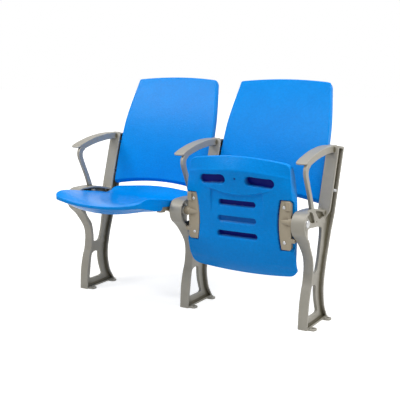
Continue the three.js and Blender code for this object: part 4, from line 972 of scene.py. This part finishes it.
# The pivot cap: a dome from its middle out to its rim, and the rim and shank behind it
CAP_FACE, DOME_DEPTH, DOME_RADIUS = -5, 3.2, 13.2
CAP_RIM = [(-1.1, 14), (-0.3, 14), (-0.3, 12.2), (18, 12.2), (18, 0)]
# An M10 rod: its crest, the radius of its ends, the length of its lead-in, and its thread
ROD_RADIUS, ROD_END, ROD_LEAD, ROD_PITCH, ROD_THREAD, ROD_CORE = 5, 4.2, 0.8, 1.5, 0.45, 4.5
# Ends of a stud: in the back, and outside the nut of an end standard
STUD_INNER, STUD_OUTER = 47.7, -23


def hexagon(place, radius, angle):
    """A hexagon with rounded-off corners: the distance to the nearest flat, kept within the profile."""
    flat = NUT_FLAT / np.cos((angle + math.pi / 6) % (math.pi / 3) - math.pi / 6)
    return place + 0 * angle, np.minimum(flat, radius)


def threaded(start, end):
    """A rod with its thread: the radius swings between crest and root once each pitch and each turn."""
    steps = int((end - start) / (ROD_PITCH / 4))
    side = [(x, ROD_RADIUS) for x in np.linspace(start + ROD_LEAD, end - ROD_LEAD, steps)]
    profile = [(start, 0), (start, ROD_END), *side, (end, ROD_END), (end, 0)]
    return moved(turned(profile, 24, thread(ROD_PITCH, ROD_THREAD, ROD_CORE)), STUD_LINE)


def small_part(name, shell, node, slot, sharp=35):
    """A small fixed piece that rides on the frame and stands for its node."""
    piece = build(name, [shell], sharp)
    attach(piece, "frame")
    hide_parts(node)
    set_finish(piece, slot)


bush = moved(turned(BUSH_PROFILE, sides=64), (PITCH / 2 - BOSS_HALF, PIVOT_Y, PIVOT_Z))
spacer = moved(turned(SPACER_PROFILE, sides=48), STUD_LINE)
for side, x in (("left", -PITCH / 2), ("right", PITCH / 2)):
    for end, turn in (("left", mirrored), ("right", same)):
        end_bush, end_spacer = (moved(turn(part), (x, 0, 0)) for part in (bush, spacer))
        small_part(f"nylon_bush_{side}_{end}", end_bush, f"pivot_bush_{side}_{end}", "bush_nylon")
        small_part(f"spacer_sleeve_{side}_{end}", end_spacer, f"back_spacer_{side}_{end}", "zinc_steel")

small_part("stud_middle", threaded(-STUD_INNER, STUD_INNER), "back_stud_middle", "zinc_steel")
dome = np.linspace(0, math.pi / 2, 14)
cap_profile = [*zip(CAP_FACE + DOME_DEPTH * (1 - np.cos(dome)), DOME_RADIUS * np.sin(dome)), *CAP_RIM]
cap = moved(turned(cap_profile, sides=64), (-BOSS_HALF, PIVOT_Y, PIVOT_Z))
stud = threaded(STUD_OUTER, STUD_INNER)
nut = moved(turned(NUT_PROFILE, 72, hexagon), STUD_LINE)
for side, x, turn in (("left", -PITCH, same), ("right", PITCH, mirrored)):
    end_cap, end_stud, end_nut = (moved(turn(part), (x, 0, 0)) for part in (cap, stud, nut))
    small_part(f"end_cap_{side}", end_cap, f"pivot_cap_{side}", "zinc_steel", 40)
    small_part(f"stud_{side}", end_stud, f"back_stud_{side}", "zinc_steel")
    small_part(f"hex_nut_{side}", end_nut, f"back_nut_{side}", "zinc_steel", 25)


# Finishes

# A Mix node's sockets by place, because their names repeat: factor, two numbers, two colours, colour out
FACTOR, NUMBER_A, NUMBER_B, COLOUR_A, COLOUR_B, COLOUR_OUT = 0, 2, 3, 6, 7, 2
# Widths of the patterns in millimetres
CLOUD, DRIFT, MOTTLE, CELL, WRINKLE = 35, 90, 9, 6, 2.5


def linear(code):
    """An sRGB hex colour as linear red, green, blue and 1."""
    channels = np.array([int(code[i:i + 2], 16) / 255 for i in (0, 2, 4)])
    bright = np.where(channels <= 0.04045, channels / 12.92, ((channels + 0.055) / 1.055) ** 2.4)
    return (*bright.tolist(), 1.0)


def add(tree, kind, settings=None, values=None, links=None):
    """Adds a node: settings are its own properties, values fill its sockets, and links join other nodes'
    sockets to them."""
    node = tree.nodes.new(kind)
    for name, value in (settings or {}).items():
        setattr(node, name, value)
    for name, value in (values or {}).items():
        node.inputs[name].default_value = value
    for name, socket in (links or {}).items():
        tree.links.new(socket, node.inputs[name])
    return node


def new_material(name):
    """A material with its node tree, its object coordinates and an empty output."""
    material = bpy.data.materials.new(name)
    material.use_nodes = True
    tree = material.node_tree
    tree.nodes.clear()
    where = add(tree, "ShaderNodeTexCoord").outputs["Object"]
    return material, tree, where


def cast_metal(name, plain, cloud, worn_lit_edge, shade, rough, grain):
    """Sand-cast and shot-blasted metal: clouds between two greys, a pebbled skin with a grain in millimetres,
    lighter towards its rounded edges as wear and painted highlight, and darker with painted shade in and near
    its inner corners."""
    material, tree, where = new_material(name)
    clouds = add(tree, "ShaderNodeTexNoise", values={"Scale": 1000 / CLOUD, "Detail": 4.0},
                 links={"Vector": where})
    skin = add(tree, "ShaderNodeTexNoise", values={"Scale": 1000 / grain, "Detail": 3.0, "Roughness": 0.6},
               links={"Vector": where})
    # Lighter towards rounded edges: wear and painted highlight
    edge_wear_and_highlight = add(tree, "ShaderNodeAttribute", {"attribute_name": "edge_wear_and_highlight"})
    edge = add(tree, "ShaderNodeMapRange", values={"From Min": 0.62, "From Max": 1.0},
               links={"Value": edge_wear_and_highlight.outputs["Fac"]})
    # Painted shade in and near inner corners, pockets and channels
    corner_shade_mask = add(tree, "ShaderNodeAttribute", {"attribute_name": "shade"})
    base = add(tree, "ShaderNodeMix", {"data_type": "RGBA"},
               {COLOUR_A: linear(plain), COLOUR_B: linear(cloud)}, {FACTOR: clouds.outputs["Fac"]})
    edge_lit = add(tree, "ShaderNodeMix", {"data_type": "RGBA"}, {COLOUR_B: linear(worn_lit_edge)},
                 {FACTOR: edge.outputs["Result"], COLOUR_A: base.outputs[COLOUR_OUT]})
    deep = add(tree, "ShaderNodeMix", {"data_type": "RGBA"}, {COLOUR_B: linear(shade)},
               {FACTOR: corner_shade_mask.outputs["Fac"], COLOUR_A: edge_lit.outputs[COLOUR_OUT]})
    bump = add(tree, "ShaderNodeBump", values={"Strength": 0.35, "Distance": 0.00025},
               links={"Height": skin.outputs["Fac"]})
    matt = add(tree, "ShaderNodeMapRange", values={"To Min": rough - 0.06, "To Max": rough + 0.08},
               links={"Value": clouds.outputs["Fac"]})
    shader = add(tree, "ShaderNodeBsdfPrincipled", values={"Metallic": 0.15}, links={
        "Base Color": deep.outputs[COLOUR_OUT], "Roughness": matt.outputs["Result"],
        "Normal": bump.outputs["Normal"]})
    add(tree, "ShaderNodeOutputMaterial", links={"Surface": shader.outputs["BSDF"]})
    return material


def moulded_polyethylene():
    """Blow-moulded polyethylene, blue: a leather grain from the mould, drawn with cells 6 mm wide where the
    real ones are about 1.5 mm, so that it shows, and broken up by finer wrinkles. The colour drifts a little
    over the width of a hand and is mottled in patches 9 mm wide. It gives a soft shine, and painted shade
    turns it dark navy in the slots, the vent and the bracket pockets' floor."""
    material, tree, where = new_material("blue_moulded_polyethylene")
    drift = add(tree, "ShaderNodeTexNoise", values={"Scale": 1000 / DRIFT, "Detail": 2.0},
                links={"Vector": where})
    cells = add(tree, "ShaderNodeTexVoronoi", {"feature": "SMOOTH_F1"},
                {"Scale": 1000 / CELL, "Smoothness": 0.6}, {"Vector": where})
    wrinkles = add(tree, "ShaderNodeTexNoise", values={"Scale": 1000 / WRINKLE, "Detail": 3.0},
                   links={"Vector": where})
    grain = add(tree, "ShaderNodeMath", {"operation": "ADD"},
                links={0: cells.outputs["Distance"], 1: wrinkles.outputs["Fac"]})
    mottle = add(tree, "ShaderNodeTexNoise", values={"Scale": 1000 / MOTTLE, "Detail": 3.0, "Roughness": 0.7},
                 links={"Vector": where})
    tone = add(tree, "ShaderNodeMix", {"data_type": "FLOAT"}, {FACTOR: 0.7},
               {NUMBER_A: drift.outputs["Fac"], NUMBER_B: mottle.outputs["Fac"]})
    base = add(tree, "ShaderNodeMix", {"data_type": "RGBA"},
               {COLOUR_A: linear("0073CB"), COLOUR_B: linear("009BF5")}, {FACTOR: tone.outputs[0]})
    # Painted shade: dark navy in the slots, the vent and the pockets' floor
    recess_shade = add(tree, "ShaderNodeAttribute", {"attribute_name": "recess_shade"})
    depth = add(tree, "ShaderNodeMix", {"data_type": "RGBA"}, {COLOUR_B: linear("00147A")},
                {FACTOR: recess_shade.outputs["Fac"], COLOUR_A: base.outputs[COLOUR_OUT]})
    bump = add(tree, "ShaderNodeBump", values={"Strength": 0.55, "Distance": 0.0005},
               links={"Height": grain.outputs["Value"]})
    matt = add(tree, "ShaderNodeMapRange", values={"To Min": 0.2, "To Max": 0.27},
               links={"Value": drift.outputs["Fac"]})
    shader = add(tree, "ShaderNodeBsdfPrincipled", values={"IOR": 1.51, "Specular IOR Level": 0.07}, links={
        "Base Color": depth.outputs[COLOUR_OUT], "Roughness": matt.outputs["Result"],
        "Normal": bump.outputs["Normal"]})
    add(tree, "ShaderNodeOutputMaterial", links={"Surface": shader.outputs["BSDF"]})
    return material


def plain_finish(name, dark, light, patch, grain, rough, metallic, depth):
    """A plain finish: patches of two near colours, and a fine grain in its roughness and bump. The patch, the
    grain and the bump's depth are in millimetres."""
    material, tree, where = new_material(name)
    patches = add(tree, "ShaderNodeTexNoise", values={"Scale": 1000 / patch, "Detail": 3.0},
                  links={"Vector": where})
    skin = add(tree, "ShaderNodeTexNoise", values={"Scale": 1000 / grain, "Detail": 2.0},
               links={"Vector": where})
    base = add(tree, "ShaderNodeMix", {"data_type": "RGBA"},
               {COLOUR_A: linear(dark), COLOUR_B: linear(light)}, {FACTOR: patches.outputs["Fac"]})
    bump = add(tree, "ShaderNodeBump", values={"Strength": 0.3, "Distance": depth / 1000},
               links={"Height": skin.outputs["Fac"]})
    matt = add(tree, "ShaderNodeMapRange", values={"To Min": rough - 0.06, "To Max": rough + 0.06},
               links={"Value": skin.outputs["Fac"]})
    shader = add(tree, "ShaderNodeBsdfPrincipled", values={"Metallic": metallic}, links={
        "Base Color": base.outputs[COLOUR_OUT], "Roughness": matt.outputs["Result"],
        "Normal": bump.outputs["Normal"]})
    add(tree, "ShaderNodeOutputMaterial", links={"Surface": shader.outputs["BSDF"]})
    return material


finishes = {
    # Warm grey cast aluminium, blasted and lacquered: satin, with edges lighter as wear and painted
    # highlight, and painted shade in its corners
    "cast_aluminium": cast_metal("satin_cast_aluminium", "A09C92", "938F84", "B4B1A8", "56513F",
                                 rough=0.42, grain=1.6),
    # Blue polyethylene with a leather grain: soft shine, a light mottle, and painted shade in the slots
    "moulded_plastic": moulded_polyethylene(),
    # Rougher brown-grey casting of the seat's end brackets, with edges lighter as wear and painted
    # highlight, and a milder painted shade in its corners
    "cast_bracket": cast_metal("brown_grey_bracket_casting", "A89D89", "998E79", "B9AF9C", "7C715E",
                               rough=0.5, grain=1.3),
    # Natural nylon: off-white and slightly waxy
    "bush_nylon": plain_finish("natural_nylon", "D2CFC6", "DEDCD5", patch=12, grain=0.6, rough=0.45,
                               metallic=0.0, depth=0.05),
    # Zinc plated steel: cool grey with cloudy spangle
    "zinc_steel": plain_finish("zinc_plated_steel", "B2B3B5", "C8C9CA", patch=3, grain=0.5, rough=0.32,
                               metallic=1.0, depth=0.04),
    # Matt black rubber with a dusty bloom
    "buffer_rubber": plain_finish("dusty_black_rubber", "3A3A39", "4A4A48", patch=6, grain=0.7, rough=0.8,
                                  metallic=0.0, depth=0.1),
}
for piece in list(bpy.data.objects):
    slot = piece.get("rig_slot")
    if slot and piece.type == "MESH":
        piece.data.materials.clear()
        piece.data.materials.append(finishes[slot])


# Floor, light and camera, in metres

FLOOR_SIZE, FLOOR_Z = 30, -0.0005
# The floor glows more from the near distance to the far one, where it is as white as the surround
GLOW_NEAR, GLOW_FAR, LEAST_GLOW, FULL_GLOW = 0.8, 3.0, 0.68, 1.0
SOFT_LIGHT, WHITE = 0.42, 1.0
# Lamps: name, place, width, height and watts; all of them point at LIT
LAMPS = (("front", (-1.8, -1.75, 2.5), 1.4, 0.3, 30), ("top", (0.0, -0.7, 3.4), 2.2, 2.0, 48),
         ("side", (2.1, 0.1, 1.9), 0.9, 0.9, 30))
LIT = Vector((0, 0, 0.45))
CAMERA_PLACE, CAMERA_TILT, CAMERA_TURN = (1.57579, -2.56020, 0.9643), 79.66, 31.2
CAMERA_LENS, CAMERA_SENSOR = 70.96, 36


def background_ray(tree):
    """1 for the rays that show the white surround: the camera's own, and those in gloss and through glass."""
    path = add(tree, "ShaderNodeLightPath")
    seen = add(tree, "ShaderNodeMath", {"operation": "MAXIMUM"},
               links={0: path.outputs["Is Camera Ray"], 1: path.outputs["Is Transmission Ray"]})
    shown = add(tree, "ShaderNodeMath", {"operation": "MAXIMUM"},
                links={0: seen.outputs[0], 1: path.outputs["Is Glossy Ray"]})
    return shown.outputs[0]


def pale_floor():
    """A floor that clips to white where light is full and keeps the shadow: paper and a glow for the rays
    that show the surround, and paper alone for all others."""
    bpy.ops.mesh.primitive_plane_add(size=FLOOR_SIZE, location=(0, 0, FLOOR_Z))
    floor = bpy.context.object
    floor.name = "floor"
    material, tree, where = new_material("pale_floor")
    paper = add(tree, "ShaderNodeBsdfDiffuse", values={"Color": linear("D0CFCC")})
    reach = add(tree, "ShaderNodeVectorMath", {"operation": "LENGTH"}, links={0: where})
    brighter = add(tree, "ShaderNodeMapRange", links={"Value": reach.outputs["Value"]}, values={
        "From Min": GLOW_NEAR, "From Max": GLOW_FAR, "To Min": LEAST_GLOW, "To Max": FULL_GLOW})
    glow = add(tree, "ShaderNodeEmission", values={"Color": linear("FFFFFF")},
               links={"Strength": brighter.outputs["Result"]})
    lit = add(tree, "ShaderNodeAddShader", links={0: paper.outputs[0], 1: glow.outputs[0]})
    mix = add(tree, "ShaderNodeMixShader",
              links={0: background_ray(tree), 1: paper.outputs[0], 2: lit.outputs[0]})
    add(tree, "ShaderNodeOutputMaterial", links={"Surface": mix.outputs[0]})
    floor.data.materials.append(material)


def white_surround():
    """The world: white for the rays that show it, and softer for the light that it gives."""
    world = bpy.data.worlds.new("white_surround")
    world.use_nodes = True
    bpy.context.scene.world = world
    tree = world.node_tree
    tree.nodes.clear()
    soft = add(tree, "ShaderNodeBackground", values={"Color": (1, 1, 1, 1), "Strength": SOFT_LIGHT})
    white = add(tree, "ShaderNodeBackground", values={"Color": (1, 1, 1, 1), "Strength": WHITE})
    mix = add(tree, "ShaderNodeMixShader",
              links={0: background_ray(tree), 1: soft.outputs[0], 2: white.outputs[0]})
    add(tree, "ShaderNodeOutputWorld", links={"Surface": mix.outputs[0]})


def lamps():
    """Soft rectangular lamps."""
    for name, place, width, height, watts in LAMPS:
        light = bpy.data.lights.new(name, "AREA")
        light.shape, light.size, light.size_y, light.energy = "RECTANGLE", width, height, watts
        lamp = bpy.data.objects.new(name, light)
        lamp.location = place
        lamp.rotation_euler = (LIT - Vector(place)).to_track_quat("-Z", "Y").to_euler()
        bpy.context.scene.collection.objects.link(lamp)


def camera():
    """The camera that was fitted to the photograph."""
    view = bpy.data.objects.new("camera", bpy.data.cameras.new("camera"))
    view.data.lens, view.data.sensor_width = CAMERA_LENS, CAMERA_SENSOR
    view.location = CAMERA_PLACE
    view.rotation_euler = (math.radians(CAMERA_TILT), 0, math.radians(CAMERA_TURN))
    bpy.context.scene.collection.objects.link(view)
    bpy.context.scene.camera = view


pale_floor()
white_surround()
lamps()
camera()
bpy.context.scene.view_settings.view_transform = "Standard"
